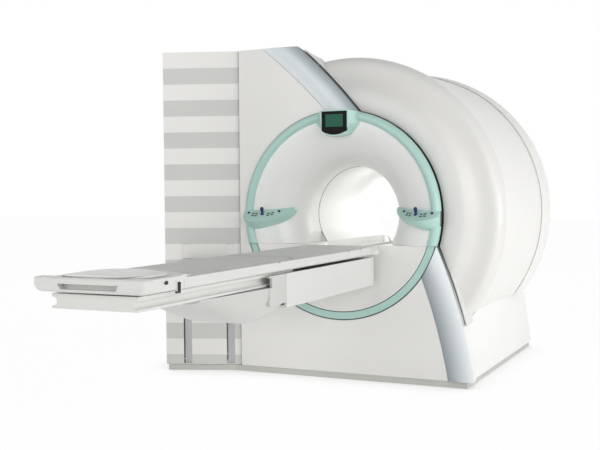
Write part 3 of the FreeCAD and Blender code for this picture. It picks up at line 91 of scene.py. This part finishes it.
# %% A socket that can be calculated with
class Signal:
    """One output of a shader node, which adds Math nodes when it is calculated with."""

    def __init__(self, tree, socket):
        self.tree = tree
        self.socket = socket

    def make(self, kind, settings=None, out=0, **inputs):
        """Add a node: its settings first, then the values or links of its sockets."""
        node = self.tree.nodes.new(kind)
        for key, value in (settings or {}).items():
            setattr(node, key, value)
        for key, value in inputs.items():
            name = int(key[1:]) if key[0] == "i" and key[1:].isdigit() else key.replace("_", " ")
            target = node.inputs[name]
            if isinstance(value, Signal):
                self.tree.links.new(value.socket, target)
            else:
                target.default_value = value
        return Signal(self.tree, node.outputs[out])

    def math(self, operation, a, b=0.0):
        return self.make("ShaderNodeMath", {"operation": operation}, i0=a, i1=b)

    def root(self):
        return self.math("SQRT", self)

    def __add__(self, other): return self.math("ADD", self, other)
    def __radd__(self, other): return self.math("ADD", other, self)
    def __sub__(self, other): return self.math("SUBTRACT", self, other)
    def __rsub__(self, other): return self.math("SUBTRACT", other, self)
    def __mul__(self, other): return self.math("MULTIPLY", self, other)
    def __rmul__(self, other): return self.math("MULTIPLY", other, self)
    def __truediv__(self, other): return self.math("DIVIDE", self, other)

    def clamp(self):
        return self.math("MINIMUM", self.math("MAXIMUM", self, 0.0), 1.0)


def linear(hex_colour):
    """A picture colour such as E0DFDC as the linear colour that shaders use."""
    parts = [int(hex_colour[i:i + 2], 16) / 255 for i in (0, 2, 4)]
    return tuple(c / 12.92 if c <= 0.04045 else ((c + 0.055) / 1.055) ** 2.4 for c in parts) + (1.0,)


# %% [markdown]
# ## One recipe for every hard finish
#
# Moulded plastic, powder paint and metal differ in few things: colour, gloss, how coarse the surface
# is, and how it ages. The recipe takes those as numbers. Large soft noise moves the colour a little, as
# light and cleaning do over years. Fine noise makes the skin of the paint. A grey film gathers near the
# floor, where mops reach.

# %% The hard finish
DRIFT_SCALE = 2.3
FILM_TOP = 0.22
FILM_COLOUR = "9A978F"
finishes = {}


def start_material(name):
    """Start a named finish: its Principled shader, and the place on the piece it is read at."""
    material = bpy.data.materials.new(name)
    material.use_nodes = True
    shader = material.node_tree.nodes["Principled BSDF"]
    first = Signal(material.node_tree, shader.outputs[0])
    place = first.make("ShaderNodeTexCoord", out=3)
    finishes[name] = material
    return shader, place


def join(signal, shader, socket):
    """Feed a calculated value to one of the shader's sockets."""
    signal.tree.links.new(signal.socket, shader.inputs[socket])


def noise_at(place, scale, detail=2.0, rough=0.5, stretch=None):
    """Smooth noise in object space, drawn out along an axis when stretch is given."""
    if stretch:
        place = place.make("ShaderNodeMapping", Vector=place, Scale=stretch)
    return place.make("ShaderNodeTexNoise", Vector=place, Scale=scale, Detail=detail, Roughness=rough)


def shade(base, other, amount):
    """Mix two colours by a mask."""
    return amount.make("ShaderNodeMix", {"data_type": "RGBA"}, out=2, i0=amount, i6=base, i7=other)


def hard_finish(name, colour, tone=0.04, rough=0.35, skin=500.0, depth=0.00002, metallic=0.0, coat=0.0,
                film=0.0, stretch=None, shine=0.5):
    """Plastic, paint or metal: colour drifts by tone, skin is the grain, film the grey near the floor."""
    shader, place = start_material(name)
    base = linear(colour)
    darker = tuple(c * (1 - tone * 2) for c in base[:3]) + (1.0,)
    drift = noise_at(place, DRIFT_SCALE, 3.0)
    tint = shade(base, darker, ((drift - 0.35) * 1.6).clamp())
    if film:
        height = place.make("ShaderNodeSeparateXYZ", Vector=place, out=2)
        low = ((FILM_TOP - height) * 3.0).clamp() * noise_at(place, 6.0, 4.0) * film
        tint = shade(tint, linear(FILM_COLOUR), low)
    join(tint, shader, "Base Color")
    grain = noise_at(place, skin, 3.0, 0.6, stretch)
    join(rough + (grain - 0.5) * 0.10 + (drift - 0.5) * 0.12, shader, "Roughness")
    join(grain.make("ShaderNodeBump", Strength=0.6, Distance=depth, Height=grain), shader, "Normal")
    shader.inputs["Metallic"].default_value = metallic
    shader.inputs["Specular IOR Level"].default_value = shine
    shader.inputs["Coat Weight"].default_value = coat
    shader.inputs["Coat Roughness"].default_value = 0.12


# %% [markdown]
# ## The finishes of this machine
#
# The covers are warm white, painted over moulded shells. The ring, wings and display housing are mint
# plastic. The steel, copper and resin parts sit inside and out of sight, and have plain finishes of
# their own. The colours and gloss of what shows follow the photograph.

# %% Finishes
hard_finish("cover_white", "F0EFEC", tone=0.012, rough=0.36, skin=420.0, coat=0.12, film=0.25)
# A darker copy of the cover white for the front barrel cover, as painted shade.
hard_finish("shoulder_white_painted_shade", "E7E6E3", tone=0.02, rough=0.38, skin=420.0, coat=0.1)
# A lighter copy of the cover white for the side and rear panels, as painted light.
hard_finish("panel_white_painted_light", "F7F7F5", tone=0.012, rough=0.36, skin=420.0, coat=0.12, film=0.25)
hard_finish("cast_white", "D0D0CD", tone=0.02, rough=0.40, skin=380.0)
hard_finish("cover_band", "D4D4D1", tone=0.02, rough=0.42, skin=420.0)
hard_finish("bore_white", "F0F0EE", tone=0.01, rough=0.30, skin=380.0, coat=0.2)
hard_finish("mint", "B3D8CF", tone=0.03, rough=0.32, skin=460.0, coat=0.25)
# Dark grey for the thin cords and strip put in the cover joints as painted shadow lines.
hard_finish("painted_shadow_grey", "6A6F70", tone=0.05, rough=0.6, skin=700.0, shine=0.3)
hard_finish("shadow_grey", "565F63", tone=0.05, rough=0.55, skin=600.0)
hard_finish("plinth_grey", "CDCEC9", tone=0.05, rough=0.5, skin=500.0, film=0.5)
hard_finish("rail_grey", "BFBFC1", tone=0.04, rough=0.36, skin=240.0, metallic=0.3, stretch=(1, 1, 0.03))
hard_finish("black_gloss", "0B0C0D", tone=0.05, rough=0.30, skin=900.0, shine=0.08)
hard_finish("key_dark", "3B404B", tone=0.05, rough=0.42, skin=700.0)
hard_finish("knob_purple", "22195A", tone=0.08, rough=0.42, skin=900.0)
hard_finish("black_plastic", "1B1C1E", tone=0.08, rough=0.45, skin=800.0)
hard_finish("table_white", "DFDFDC", tone=0.012, rough=0.38, skin=380.0, coat=0.1)
hard_finish("table_grey", "B4B7B9", tone=0.05, rough=0.32, skin=240.0, metallic=0.85, stretch=(1, 0.03, 1))
hard_finish("steel", "9FA2A5", tone=0.05, rough=0.28, skin=300.0, metallic=1.0, stretch=(1, 1, 0.05))
hard_finish("vessel_steel", "A9ABAE", tone=0.05, rough=0.34, skin=260.0, metallic=0.9, stretch=(1, 1, 0.05))
hard_finish("epoxy", "B59A5A", tone=0.12, rough=0.36, skin=300.0, coat=0.2)
hard_finish("copper", "B36B45", tone=0.12, rough=0.34, skin=900.0, metallic=0.9, stretch=(1, 12, 1))
hard_finish("frame_blue", "4A5560", tone=0.05, rough=0.45, skin=420.0, film=0.4)
hard_finish("belt_rubber", "202122", tone=0.08, rough=0.7, skin=420.0, depth=0.0002, stretch=(0.02, 1, 1))
hard_finish("screen_green", "2A6450", tone=0.10, rough=0.25, skin=900.0, shine=0.10)
print(len(finishes), "hard finishes")

# %% [markdown]
# ## The silver band's sweep
#
# The band is one long crowned strip in silver paint with a fine flake. Light catches it along one side above
# the ring and along the other side below it, and that light and shade is painted into its colour. The
# distance from the axis that the strip is turned about says how far across it a point lies, so a mask of
# that distance lays painted shade over the side that turns away from the light.

# %% Silver paint across the band
BAND_AXIS_X, BAND_AXIS_Z = -2.4266, -0.4823
BAND_INNER, BAND_ACROSS = 3.141, 0.150
SIDES_CHANGE_AT = 0.9

shader, place = start_material("silver")
side = place.make("ShaderNodeSeparateXYZ", Vector=place, out=0)
height = Signal(side.tree, side.socket.node.outputs[2])
from_axis = ((side - BAND_AXIS_X) * (side - BAND_AXIS_X)
             + (height - BAND_AXIS_Z) * (height - BAND_AXIS_Z)).root()
across = ((from_axis - BAND_INNER) / BAND_ACROSS).clamp()
upper = ((height - SIDES_CHANGE_AT) * 2.0).clamp()
# Painted shade: the side of the band that turns away from the light is mixed towards a dark grey.
painted_shade_side = (upper * across + (1.0 - upper) * (1.0 - across)).clamp()
flake = noise_at(place, 1500.0, 2.0)
cloud = noise_at(place, 3.0, 2.0)
tint = shade(linear("E4E9EB"), linear("7F8A91"), (painted_shade_side * 0.95 + (cloud - 0.5) * 0.2 - 0.08).clamp())
tint = shade(tint, linear("EDF1F3"), ((flake - 0.58) * 4.0).clamp() * 0.35)
join(tint, shader, "Base Color")
join(0.40 + (flake - 0.5) * 0.12, shader, "Roughness")
join(flake.make("ShaderNodeBump", Strength=0.4, Distance=0.00003, Height=flake), shader, "Normal")
shader.inputs["Metallic"].default_value = 0.35
shader.inputs["Coat Weight"].default_value = 0.08
shader.inputs["Coat Roughness"].default_value = 0.15
print("silver paint across", BAND_ACROSS, "m")

# %% [markdown]
# ## The band's return
#
# Behind the band's right edge its frame turns back to the cover. Down to just below the ring's middle this
# narrow return lies in the band's own shade, and that shade is painted into its colour as a dark grey. From
# there on it faces the light more and more, so the painted grey turns nearly as pale as the covers. One mask
# of the height mixes the two greys as painted shade, with a little noise to blur the change.

# %% The band's return
RETURN_DARK_ABOVE = 0.78

shader, place = start_material("band_return")
height = place.make("ShaderNodeSeparateXYZ", Vector=place, out=2)
mottle = noise_at(place, 5.0, 3.0)
# Painted shade: dark grey high up, pale grey lower down, where the return faces the light.
exposed = ((RETURN_DARK_ABOVE - height) * 2.6 + (mottle - 0.5) * 0.1).clamp()
join(shade(linear("525B5F"), linear("C9CAC7"), exposed), shader, "Base Color")
join(0.5 + (mottle - 0.5) * 0.1, shader, "Roughness")
shader.inputs["Specular IOR Level"].default_value = 0.3
print("the return is darkest above", RETURN_DARK_ABOVE, "m")

# %% [markdown]
# ## The mattress cloth
#
# The mattress is foam in a coated cloth that can be wiped clean. Close up, the coating shows a pebble
# grain of about a millimetre, and its colour is broken by faint lighter rubs where people lie. Voronoi
# cells make the grain, and wide soft noise the rubs. A little sheen lifts the edges, as cloth does.

# %% Coated cloth
PEBBLES_PER_METRE = 900.0

shader, place = start_material("mattress_grey")
rubs = ((noise_at(place, 4.0, 4.0) - 0.45) * 2.5).clamp()
weave = noise_at(place, 160.0, 2.0)
tint = shade(linear("C4C5C2"), linear("CFD0CD"), rubs * 0.6)
tint = shade(tint, linear("B7B8B5"), ((weave - 0.5) * 1.5).clamp() * 0.5)
join(tint, shader, "Base Color")
join(0.58 + (weave - 0.5) * 0.2 - rubs * 0.06, shader, "Roughness")
pebbles = place.make("ShaderNodeTexVoronoi", {"feature": "SMOOTH_F1"}, Vector=place, Scale=PEBBLES_PER_METRE)
dents = pebbles.make("ShaderNodeBump", Strength=0.5, Distance=0.0003, Height=pebbles)
soft = noise_at(place, 14.0, 2.0)
join(dents.make("ShaderNodeBump", Strength=0.4, Distance=0.002, Height=soft, Normal=dents), shader, "Normal")
shader.inputs["Sheen Weight"].default_value = 0.15
shader.inputs["Sheen Roughness"].default_value = 0.5
print("coated cloth ready,", len(finishes), "finishes")

# %% [markdown]
# ## Finishes go to the frame's nodes
#
# Each solid names its material slot in the record, so one loop can hand out the finishes. A few solids get a
# finish of their own from a short table. The side and rear panels get a lighter copy of the white, as
# painted light, and the front barrel cover gets a darker copy, as painted shade. The band's frame gets its
# return grey with painted shade, and the cradle and the lift arm, cast apart from the rest, get a darker
# white.

# %% Give every node its finish
OWN_FINISH = {
    "band_frame": "band_return",
    "front_barrel_cover": "shoulder_white_painted_shade",
    "side_panel_right": "panel_white_painted_light",
    "side_panel_left": "panel_white_painted_light",
    "rear_base_panel": "panel_white_painted_light",
    "cradle": "cast_white",
    "lift_arm": "cast_white",
}
slots = {part["node"]: part["material_slot"] for part in frame["record"]["subparts"]}
for name, piece in nodes.items():
    piece.data.materials.clear()
    piece.data.materials.append(finishes[OWN_FINISH.get(name, slots[name])])
print("finished", len(slots), "nodes")

# %% [markdown]
# ## Starting and finishing a piece
#
# Every piece made below starts as one simple shape and ends with its normals, finish and body set. These
# steps are the same each time, so they are written once. A piece's place, turn and size go into its mesh
# at once, because a pattern that is read in object space would slide or turn otherwise.


# %% Start, finish and dress a piece
def take_up(piece):
    """Make this the one piece that is selected and active."""
    bpy.ops.object.select_all(action="DESELECT")
    piece.select_set(True)
    bpy.context.view_layer.objects.active = piece


def start_piece(name, add, stretch=None, **settings):
    """Add a simple shape, name it, and put its place, turn and size into its mesh."""
    bpy.ops.object.select_all(action="DESELECT")
    add(**settings)
    piece = bpy.context.object
    piece.name = name
    if stretch:
        piece.scale = stretch
    bpy.ops.object.transform_apply(location=True, rotation=True, scale=True)
    piece.data.name = name
    return piece


def finish_with(piece, kind, **settings):
    """Add a modifier with these settings and apply it."""
    take_up(piece)
    modifier = piece.modifiers.new(kind.lower(), kind)
    for key, value in settings.items():
        setattr(modifier, key, value)
    bpy.ops.object.modifier_apply(modifier=modifier.name)


def dress(piece, finish, body):
    """Set normals outwards, give the piece its finish, and let it ride on a body."""
    take_up(piece)
    bpy.ops.object.mode_set(mode="EDIT")
    bpy.ops.mesh.select_all(action="SELECT")
    bpy.ops.mesh.remove_doubles(threshold=0.00001)
    bpy.ops.mesh.normals_make_consistent(inside=False)
    bpy.ops.object.mode_set(mode="OBJECT")
    bpy.ops.object.shade_smooth_by_angle(angle=math.radians(35))
    piece.data.materials.clear()
    piece.data.materials.append(finishes[finish])
    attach(piece, body)
    print(piece.name, len(piece.data.polygons), "faces on", body)


# %% [markdown]
# ## Picking faces and edges
#
# By hand one would click on the face to raise or the edge to pull out. A script picks them by where they
# lie and which way they look, then hands over to the same tools of edit mode.


# %% Pick faces or edges
def edit_faces(piece, choose):
    """Enter edit mode with only the faces selected that choose() picks by place and normal."""
    bpy.context.view_layer.objects.active = piece
    bpy.ops.object.mode_set(mode="OBJECT")
    for part in (piece.data.vertices, piece.data.edges, piece.data.polygons):
        for element in part:
            element.select = False
    for face in piece.data.polygons:
        face.select = choose(face)
    bpy.ops.object.mode_set(mode="EDIT")
    bpy.ops.mesh.select_mode(type="FACE")


def edit_edges(piece, x):
    """Enter edit mode with only the edges selected whose two ends lie at this x."""
    edit_faces(piece, lambda face: False)
    bpy.ops.object.mode_set(mode="OBJECT")
    ends = piece.data.vertices
    for edge in piece.data.edges:
        edge.select = all(abs(ends[i].co.x - x) < 0.0005 for i in edge.vertices)
        for i in edge.vertices:
            ends[i].select = ends[i].select or edge.select
    bpy.ops.object.mode_set(mode="EDIT")
    bpy.ops.mesh.select_mode(type="EDGE")


# %% [markdown]
# ## The mattress sections
#
# Two foam sections lie end to end in the tabletop's tray. Each is a flat block whose cover is pulled
# tight by the foam, so its top swells a little, its long edges are round, and its sides draw in between
# the corners. A block is remeshed to even squares, and the cloth simulation blows it up from inside,
# because that finds the folds of the corners by itself. The swelling is capped, so the foam stays firm,
# and the underside is laid flat again, because it rests on the tray.

# %% Blow up a foam section
VOXEL = 0.006
SWELL = 0.005
EDGE_ROUND = 0.011
AIR_PRESSURE = 4.0
CLOTH_FRAMES = 20
FACES_KEPT = 0.6


def start_block(name, node):
    """A block in the node's place, a little smaller than it, with rounded edges and even faces."""
    low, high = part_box(node)
    size = [high[i] - low[i] - 2 * SWELL for i in range(3)]
    middle = [(high[i] + low[i]) / 2 for i in range(3)]
    pad = start_piece(name, bpy.ops.mesh.primitive_cube_add, size=1.0, location=middle, scale=size)
    finish_with(pad, "BEVEL", width=EDGE_ROUND, segments=4, limit_method="ANGLE")
    finish_with(pad, "REMESH", mode="VOXEL", voxel_size=VOXEL)
    return pad


def blow_up(pad, cap):
    """Cloth with air pressure inside for some frames, where no point moves further than the cap."""
    before = [vertex.co.copy() for vertex in pad.data.vertices]
    cloth = pad.modifiers.new("cloth", "CLOTH")
    cloth.settings.quality = 4
    cloth.settings.use_pressure = True
    cloth.settings.uniform_pressure_force = AIR_PRESSURE
    cloth.settings.effector_weights.gravity = 0.0
    for frame_number in range(1, CLOTH_FRAMES + 1):
        bpy.context.scene.frame_set(frame_number)
    bpy.ops.object.modifier_apply(modifier=cloth.name)
    bpy.context.scene.frame_set(1)
    furthest = 0.0
    for vertex, start in zip(pad.data.vertices, before):
        step = vertex.co - start
        furthest = max(furthest, step.length)
        if step.length > cap:
            vertex.co = start + step * (cap / step.length)
    return furthest


def foam_section(name, node):
    """One mattress section, swollen, flat below, smooth, in coated cloth."""
    pad = start_block(name, node)
    low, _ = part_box(node)
    base = low[2]
    swelling = blow_up(pad, SWELL)
    for vertex in pad.data.vertices:
        if vertex.co.z < base + 2.2 * SWELL:
            vertex.co.z = base + max(0.0, vertex.co.z - base - 1.2 * SWELL)
    finish_with(pad, "SUBSURF", levels=1, render_levels=1)
    finish_with(pad, "DECIMATE", ratio=FACES_KEPT)
    bpy.ops.object.shade_smooth()
    pad.data.materials.clear()
    pad.data.materials.append(finishes["mattress_grey"])
    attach(pad, "couch_top")
    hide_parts(node)
    top = max(vertex.co.z for vertex in pad.data.vertices)
    print(name, len(pad.data.polygons), "faces, swelled", round(swelling, 4), "top", round(top, 4))


# %% [markdown]
# The section towards the head is 6 cm longer. Both are made by the same steps, so they have one height.

# %% Two sections
foam_section("foam_foot", "mattress_foot")
foam_section("foam_head", "mattress_head")

# %% [markdown]
# ## The pad of the end piece
#
# The foot end of the table carries a moulded pad that rises behind the rim in a low crown, with a shallow
# hollow in its near slope where hands rest. A block is inset and raised in layers, as a sculptor adds
# clay, then its near slope is inset and pushed in. A Subdivision Surface melts the steps into one soft form.

# %% End pad
PAD_SIDE, PAD_NEAR, PAD_SINK, PAD_LIFT = 0.056, 0.016, 0.015, 0.0005
PAD_LAYERS = ((0.003, 0.0), (0.055, 0.010), (0.004, 0.0005), (0.060, 0.003))
HOLLOW_STEPS = ((0.012, 0.0), (0.002, -0.001), (0.004, -0.010))
HOLLOW_WITHIN = 0.07

end_low, end_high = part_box("end_handle")
pad_length = end_high[1] - end_low[1] - PAD_NEAR
end_pad = start_piece(
    "end_pad", bpy.ops.mesh.primitive_cube_add, size=1.0,
    location=(0.0, end_high[1] - pad_length / 2, end_high[2] - PAD_SINK / 2 + PAD_LIFT),
    scale=(end_high[0] - end_low[0] - 2 * PAD_SIDE, pad_length, PAD_SINK))


def near_slope(face):
    """The sloping face on top that lies towards the table's foot end."""
    return face.normal.y < -0.1 and face.normal.z > 0.5 and face.center.y < end_low[1] + HOLLOW_WITHIN


for thickness, depth in PAD_LAYERS:
    edit_faces(end_pad, lambda face: face.normal.z > 0.99 and face.area > 0.02)
    bpy.ops.mesh.inset(thickness=thickness, depth=depth)
    bpy.ops.object.mode_set(mode="OBJECT")
edit_faces(end_pad, near_slope)
for thickness, depth in HOLLOW_STEPS:
    bpy.ops.mesh.inset(thickness=thickness, depth=depth)
bpy.ops.object.mode_set(mode="OBJECT")
finish_with(end_pad, "SUBSURF", levels=3, render_levels=3)
dress(end_pad, "cover_white", "couch_top")

# %% [markdown]
# ## Painted shadow lines between the covers
#
# Where two covers meet, a thin dark grey cord lies in the joint as a painted shadow line. From a few metres
# it is only a hair line, yet it is what makes the ring and the bore's mouth read as separate mouldings. Each
# is a round cord: a torus laid in the plane of the joint. A bisect cuts it off where the joint ends, at the
# ledge, beside the band, or low on the barrel.

# %% Shadow lines
BORE_Z = 0.98
LEDGE_Z = 0.803


def shadow_cord(name, radius, depth, width, cut_below, cut_right=None):
    """A round cord round the bore axis at this depth, cut off below a height and beyond a side."""
    cord = start_piece(
        name, bpy.ops.mesh.primitive_torus_add, location=(0.0, depth, BORE_Z),
        rotation=(math.pi / 2, 0.0, 0.0), major_segments=180, minor_segments=8, major_radius=radius,
        minor_radius=width / 2)
    bpy.ops.object.mode_set(mode="EDIT")
    bpy.ops.mesh.select_all(action="SELECT")
    bpy.ops.mesh.bisect(
        plane_co=(0.0, 0.0, cut_below), plane_no=(0.0, 0.0, 1.0), clear_inner=True, use_fill=True)
    if cut_right is not None:
        bpy.ops.mesh.select_all(action="SELECT")
        bpy.ops.mesh.bisect(
            plane_co=(cut_right, 0.0, 0.0), plane_no=(1.0, 0.0, 0.0), clear_outer=True, use_fill=True)
    bpy.ops.object.mode_set(mode="OBJECT")
    # The cord is dark grey, a painted shadow line in the joint.
    dress(cord, "painted_shadow_grey", "magnet")


shadow_cord("mouth_shadow_line", radius=0.3003, depth=-0.469, width=0.0042, cut_below=LEDGE_Z + 0.001)
shadow_cord("ring_shadow_line", radius=0.6272, depth=-0.8505, width=0.0032, cut_below=LEDGE_Z, cut_right=-0.02)
shadow_cord("barrel_shadow_line", radius=0.9466, depth=-0.6015, width=0.0044, cut_below=0.42)

# %% [markdown]
# ## The shadow line beside the tower
#
# The tower stands against the flat front in one straight joint, from near the floor to the top. The painted
# shadow line in that joint is a narrow flat dark strip, so a block with its edges broken is enough.

# %% Tower shadow line
STRIP_PLACE = (-0.6705, -0.8355, 1.0175)
STRIP_SIZE = (0.004, 0.021, 1.955)
STRIP_EDGE = 0.0012

tower_shadow_line = start_piece(
    "tower_shadow_line", bpy.ops.mesh.primitive_cube_add, size=1.0, location=STRIP_PLACE, scale=STRIP_SIZE)
finish_with(tower_shadow_line, "BEVEL", width=STRIP_EDGE, segments=3, limit_method="ANGLE")
# The strip is dark grey, a painted shadow line in the joint.
dress(tower_shadow_line, "painted_shadow_grey", "magnet")

# %% [markdown]
# ## The rear channel's corners
#
# Behind the bore the tabletop's way runs on through the rear bell mouth. Its two corners are lined, so
# no dark inside shows past them. Each liner starts as a block, of which only the outer wall and the
# floor are kept, and those get their thickness from Solidify.

# %% Channel liners
LINER_IN, LINER_OUT, LINER_FLOOR = 0.184, 0.2445, 0.7435
LINER_START, LINER_END = 0.534, 0.729
LINER_SHEET, SHEET_EDGE = 0.0015, 0.0004

for name, hand in (("channel_liner_left", -1), ("channel_liner_right", 1)):
    liner = start_piece(
        name, bpy.ops.mesh.primitive_cube_add, size=1.0,
        location=(hand * (LINER_IN + LINER_OUT) / 2, (LINER_START + LINER_END) / 2,
                  (LINER_FLOOR + LEDGE_Z) / 2),
        scale=(LINER_OUT - LINER_IN, LINER_END - LINER_START, LEDGE_Z - LINER_FLOOR))
    edit_faces(liner, lambda face: face.normal.z > -0.5 and face.normal.x * hand < 0.5)
    bpy.ops.mesh.delete(type="FACE")
    bpy.ops.object.mode_set(mode="OBJECT")
    finish_with(liner, "SOLIDIFY", thickness=LINER_SHEET, offset=1.0)
    finish_with(liner, "BEVEL", width=SHEET_EDGE, segments=2, limit_method="ANGLE")
    dress(liner, "bore_white", "magnet")

# %% [markdown]
# ## The front of the tabletop's way
#
# Between the dished face and the bore the tabletop's way has a floor, two low walls and the ledge beside
# them, moulded in one sheet. The sheet is drawn as by hand: a plane for the floor, whose outer edge is
# extruded up for the wall and then outwards for the ledge. Solidify gives it a wall's thickness.

# %% Way liner on the left
WAY_NEAR, WAY_FAR = -0.612, -0.4696
WAY_IN, WAY_WALL, WAY_OUT = 0.183, 0.243, 0.2815
WAY_FLOOR, WAY_LEDGE = 0.745, 0.802
WAY_SHEET = 0.0014

left_sheet = start_piece(
    "way_liner_left", bpy.ops.mesh.primitive_plane_add, size=1.0,
    location=(-(WAY_IN + WAY_WALL) / 2, (WAY_NEAR + WAY_FAR) / 2, WAY_FLOOR),
    stretch=(WAY_WALL - WAY_IN, WAY_FAR - WAY_NEAR, 1.0))
edit_edges(left_sheet, -WAY_WALL)
bpy.ops.mesh.extrude_region_move(TRANSFORM_OT_translate={"value": (0.0, 0.0, WAY_LEDGE - WAY_FLOOR)})
bpy.ops.mesh.extrude_region_move(TRANSFORM_OT_translate={"value": (WAY_WALL - WAY_OUT, 0.0, 0.0)})
bpy.ops.object.mode_set(mode="OBJECT")
finish_with(left_sheet, "SOLIDIFY", thickness=WAY_SHEET, offset=1.0)
finish_with(left_sheet, "BEVEL", width=SHEET_EDGE, segments=2, limit_method="ANGLE")

# %% [markdown]
# The other side is the same moulding seen in a mirror, so it is a copy of the finished mesh, turned
# over by a negative scale. That turns its faces inside out, which dress() puts right.

# %% The mirrored liner
right_sheet = left_sheet.copy()
right_sheet.data = left_sheet.data.copy()
right_sheet.name = right_sheet.data.name = "way_liner_right"
bpy.context.scene.collection.objects.link(right_sheet)
take_up(right_sheet)
right_sheet.scale = (-1.0, 1.0, 1.0)
bpy.ops.object.transform_apply(location=True, rotation=True, scale=True)
for sheet in (left_sheet, right_sheet):
    dress(sheet, "bore_white", "magnet")

# %% [markdown]
# ## Studio
#
# To the camera the world is plain white, as in a cut-out. To the machine it is a grey room, whose walls
# are brighter than its ceiling, so upright covers stay bright and the tops of round ones turn away into
# a soft grey, as they do in the photograph.

# %% World
WALL_LIGHT = (0.50, 0.50, 0.50, 1.0)
CEILING_LIGHT = (0.27, 0.27, 0.27, 1.0)
WHITE = (1.0, 1.0, 1.0, 1.0)

world = bpy.data.worlds.new("studio")
bpy.context.scene.world = world
world.use_nodes = True
room = Signal(world.node_tree, world.node_tree.nodes["Background"].outputs[0])
upward = room.make("ShaderNodeSeparateXYZ", Vector=room.make("ShaderNodeTexCoord", out=0), out=2)
ceiling = ((upward - 0.1) * 1.6).clamp()
room_light = shade(WALL_LIGHT, CEILING_LIGHT, ceiling)
room.tree.links.new(room_light.socket, room.socket.node.inputs["Color"])
room.socket.node.inputs["Strength"].default_value = 1.0
backdrop = room.make("ShaderNodeBackground", Color=WHITE, Strength=1.0)


def straight_to_sheet(signal):
    """One for rays from the camera, and for those that gloss or glass sends on."""
    camera_ray = signal.make("ShaderNodeLightPath", out=0)
    gloss_ray = Signal(signal.tree, camera_ray.socket.node.outputs["Is Glossy Ray"])
    glass_ray = Signal(signal.tree, camera_ray.socket.node.outputs["Is Transmission Ray"])
    return (camera_ray + gloss_ray + glass_ray).clamp()


mixed = room.make("ShaderNodeMixShader", i0=straight_to_sheet(room), i1=room, i2=backdrop)
world.node_tree.links.new(mixed.socket, world.node_tree.nodes["World Output"].inputs["Surface"])
print("room: walls", WALL_LIGHT[0], "ceiling", CEILING_LIGHT[0])

# %% [markdown]
# ## The floor
#
# The floor is a wide sheet of paper just under the machine. It glows white to the camera wherever it is
# open to the sky, and shows its own pale surface close to the machine, where little sky reaches. That
# leaves only a faint shadow at the foot. It also sends a little light up, as pale paper does.

# %% Floor
FLOOR_WIDTH, FLOOR_Z = 60.0, -0.001
PAPER_COLOUR = (0.88, 0.88, 0.87, 1.0)
SHADOW_REACH = 0.4
BOUNCE = 0.25

bpy.ops.object.select_all(action="DESELECT")
bpy.ops.mesh.primitive_plane_add(size=FLOOR_WIDTH, location=(0.0, 0.0, FLOOR_Z))
floor = bpy.context.object
floor.name = "studio_floor"
floor_material = bpy.data.materials.new("studio_floor")
floor_material.use_nodes = True
floor_nodes = floor_material.node_tree.nodes
floor_shader = floor_nodes["Principled BSDF"]
floor_shader.inputs["Base Color"].default_value = PAPER_COLOUR
floor_shader.inputs["Roughness"].default_value = 0.9
paper = Signal(floor_material.node_tree, floor_shader.outputs[0])
openness = paper.make("ShaderNodeAmbientOcclusion", {"samples": 8}, out=1, Distance=SHADOW_REACH)
glow = paper.make("ShaderNodeEmission", Color=WHITE, Strength=1.0)
bounce = paper.make("ShaderNodeEmission", Color=WHITE, Strength=BOUNCE)
lit_paper = paper.make("ShaderNodeAddShader", i0=paper, i1=bounce)
seen_white = straight_to_sheet(paper) * ((openness - 0.30) * 2.0).clamp() * 0.96
paper_mix = paper.make("ShaderNodeMixShader", i0=seen_white, i1=lit_paper, i2=glow)
paper.tree.links.new(paper_mix.socket, floor_nodes["Material Output"].inputs["Surface"])
floor.data.materials.append(floor_material)
print("floor", FLOOR_WIDTH, "m wide")

# %% [markdown]
# ## The lamps
#
# Four large soft boxes stand round the machine, as in a photographer's studio. The key lamp is at the
# right in front, and the front lamp fills the shade that it leaves. The side lamp lifts the leaning
# panels. The rear lamp lights the barrel's back edge and isn't reflected, because its reflection is only
# glare. A weak soft box behind the bore and a small bulb inside it keep the tunnel white.


# %% Lamps
def lamp(name, place, target, size, power):
    """A soft box of this width and height that looks at a point."""
    light = bpy.data.objects.new(name, bpy.data.lights.new(name, "AREA"))
    bpy.context.scene.collection.objects.link(light)
    light.data.shape = "RECTANGLE"
    light.data.size, light.data.size_y = size
    light.data.energy = power
    light.location = place
    light.rotation_euler = (Vector(target) - Vector(place)).to_track_quat("-Z", "Y").to_euler()
    light.visible_camera = False
    return light


BOX = (4.0, 3.0)
lamp("key", place=(5.5, -5.0, 2.6), target=(0.2, -0.5, 0.9), size=BOX, power=106.0)
lamp("front", place=(-1.5, -7.5, 2.4), target=(0.0, -0.8, 0.9), size=BOX, power=76.0)
lamp("side", place=(6.5, -0.5, 1.0), target=(0.6, 0.0, 0.5), size=(3.0, 2.0), power=104.0)
rear = lamp("rear", place=(-4.0, 5.5, 3.0), target=(0.0, 0.0, 0.9), size=BOX, power=60.0)
rear.visible_glossy = False
lamp("tunnel", place=(0.0, 1.4, 1.0), target=(0.0, -0.5, BORE_Z), size=(0.5, 0.5), power=2.5)

bore_bulb = bpy.data.objects.new("bore_bulb", bpy.data.lights.new("bore_bulb", "POINT"))
bpy.context.scene.collection.objects.link(bore_bulb)
bore_bulb.location = (0.1, -0.1, 1.08)
bore_bulb.data.energy = 1.7
bore_bulb.data.shadow_soft_size = 0.12
bore_bulb.visible_camera = False
scene = bpy.context.scene
scene.view_settings.view_transform = "Standard"
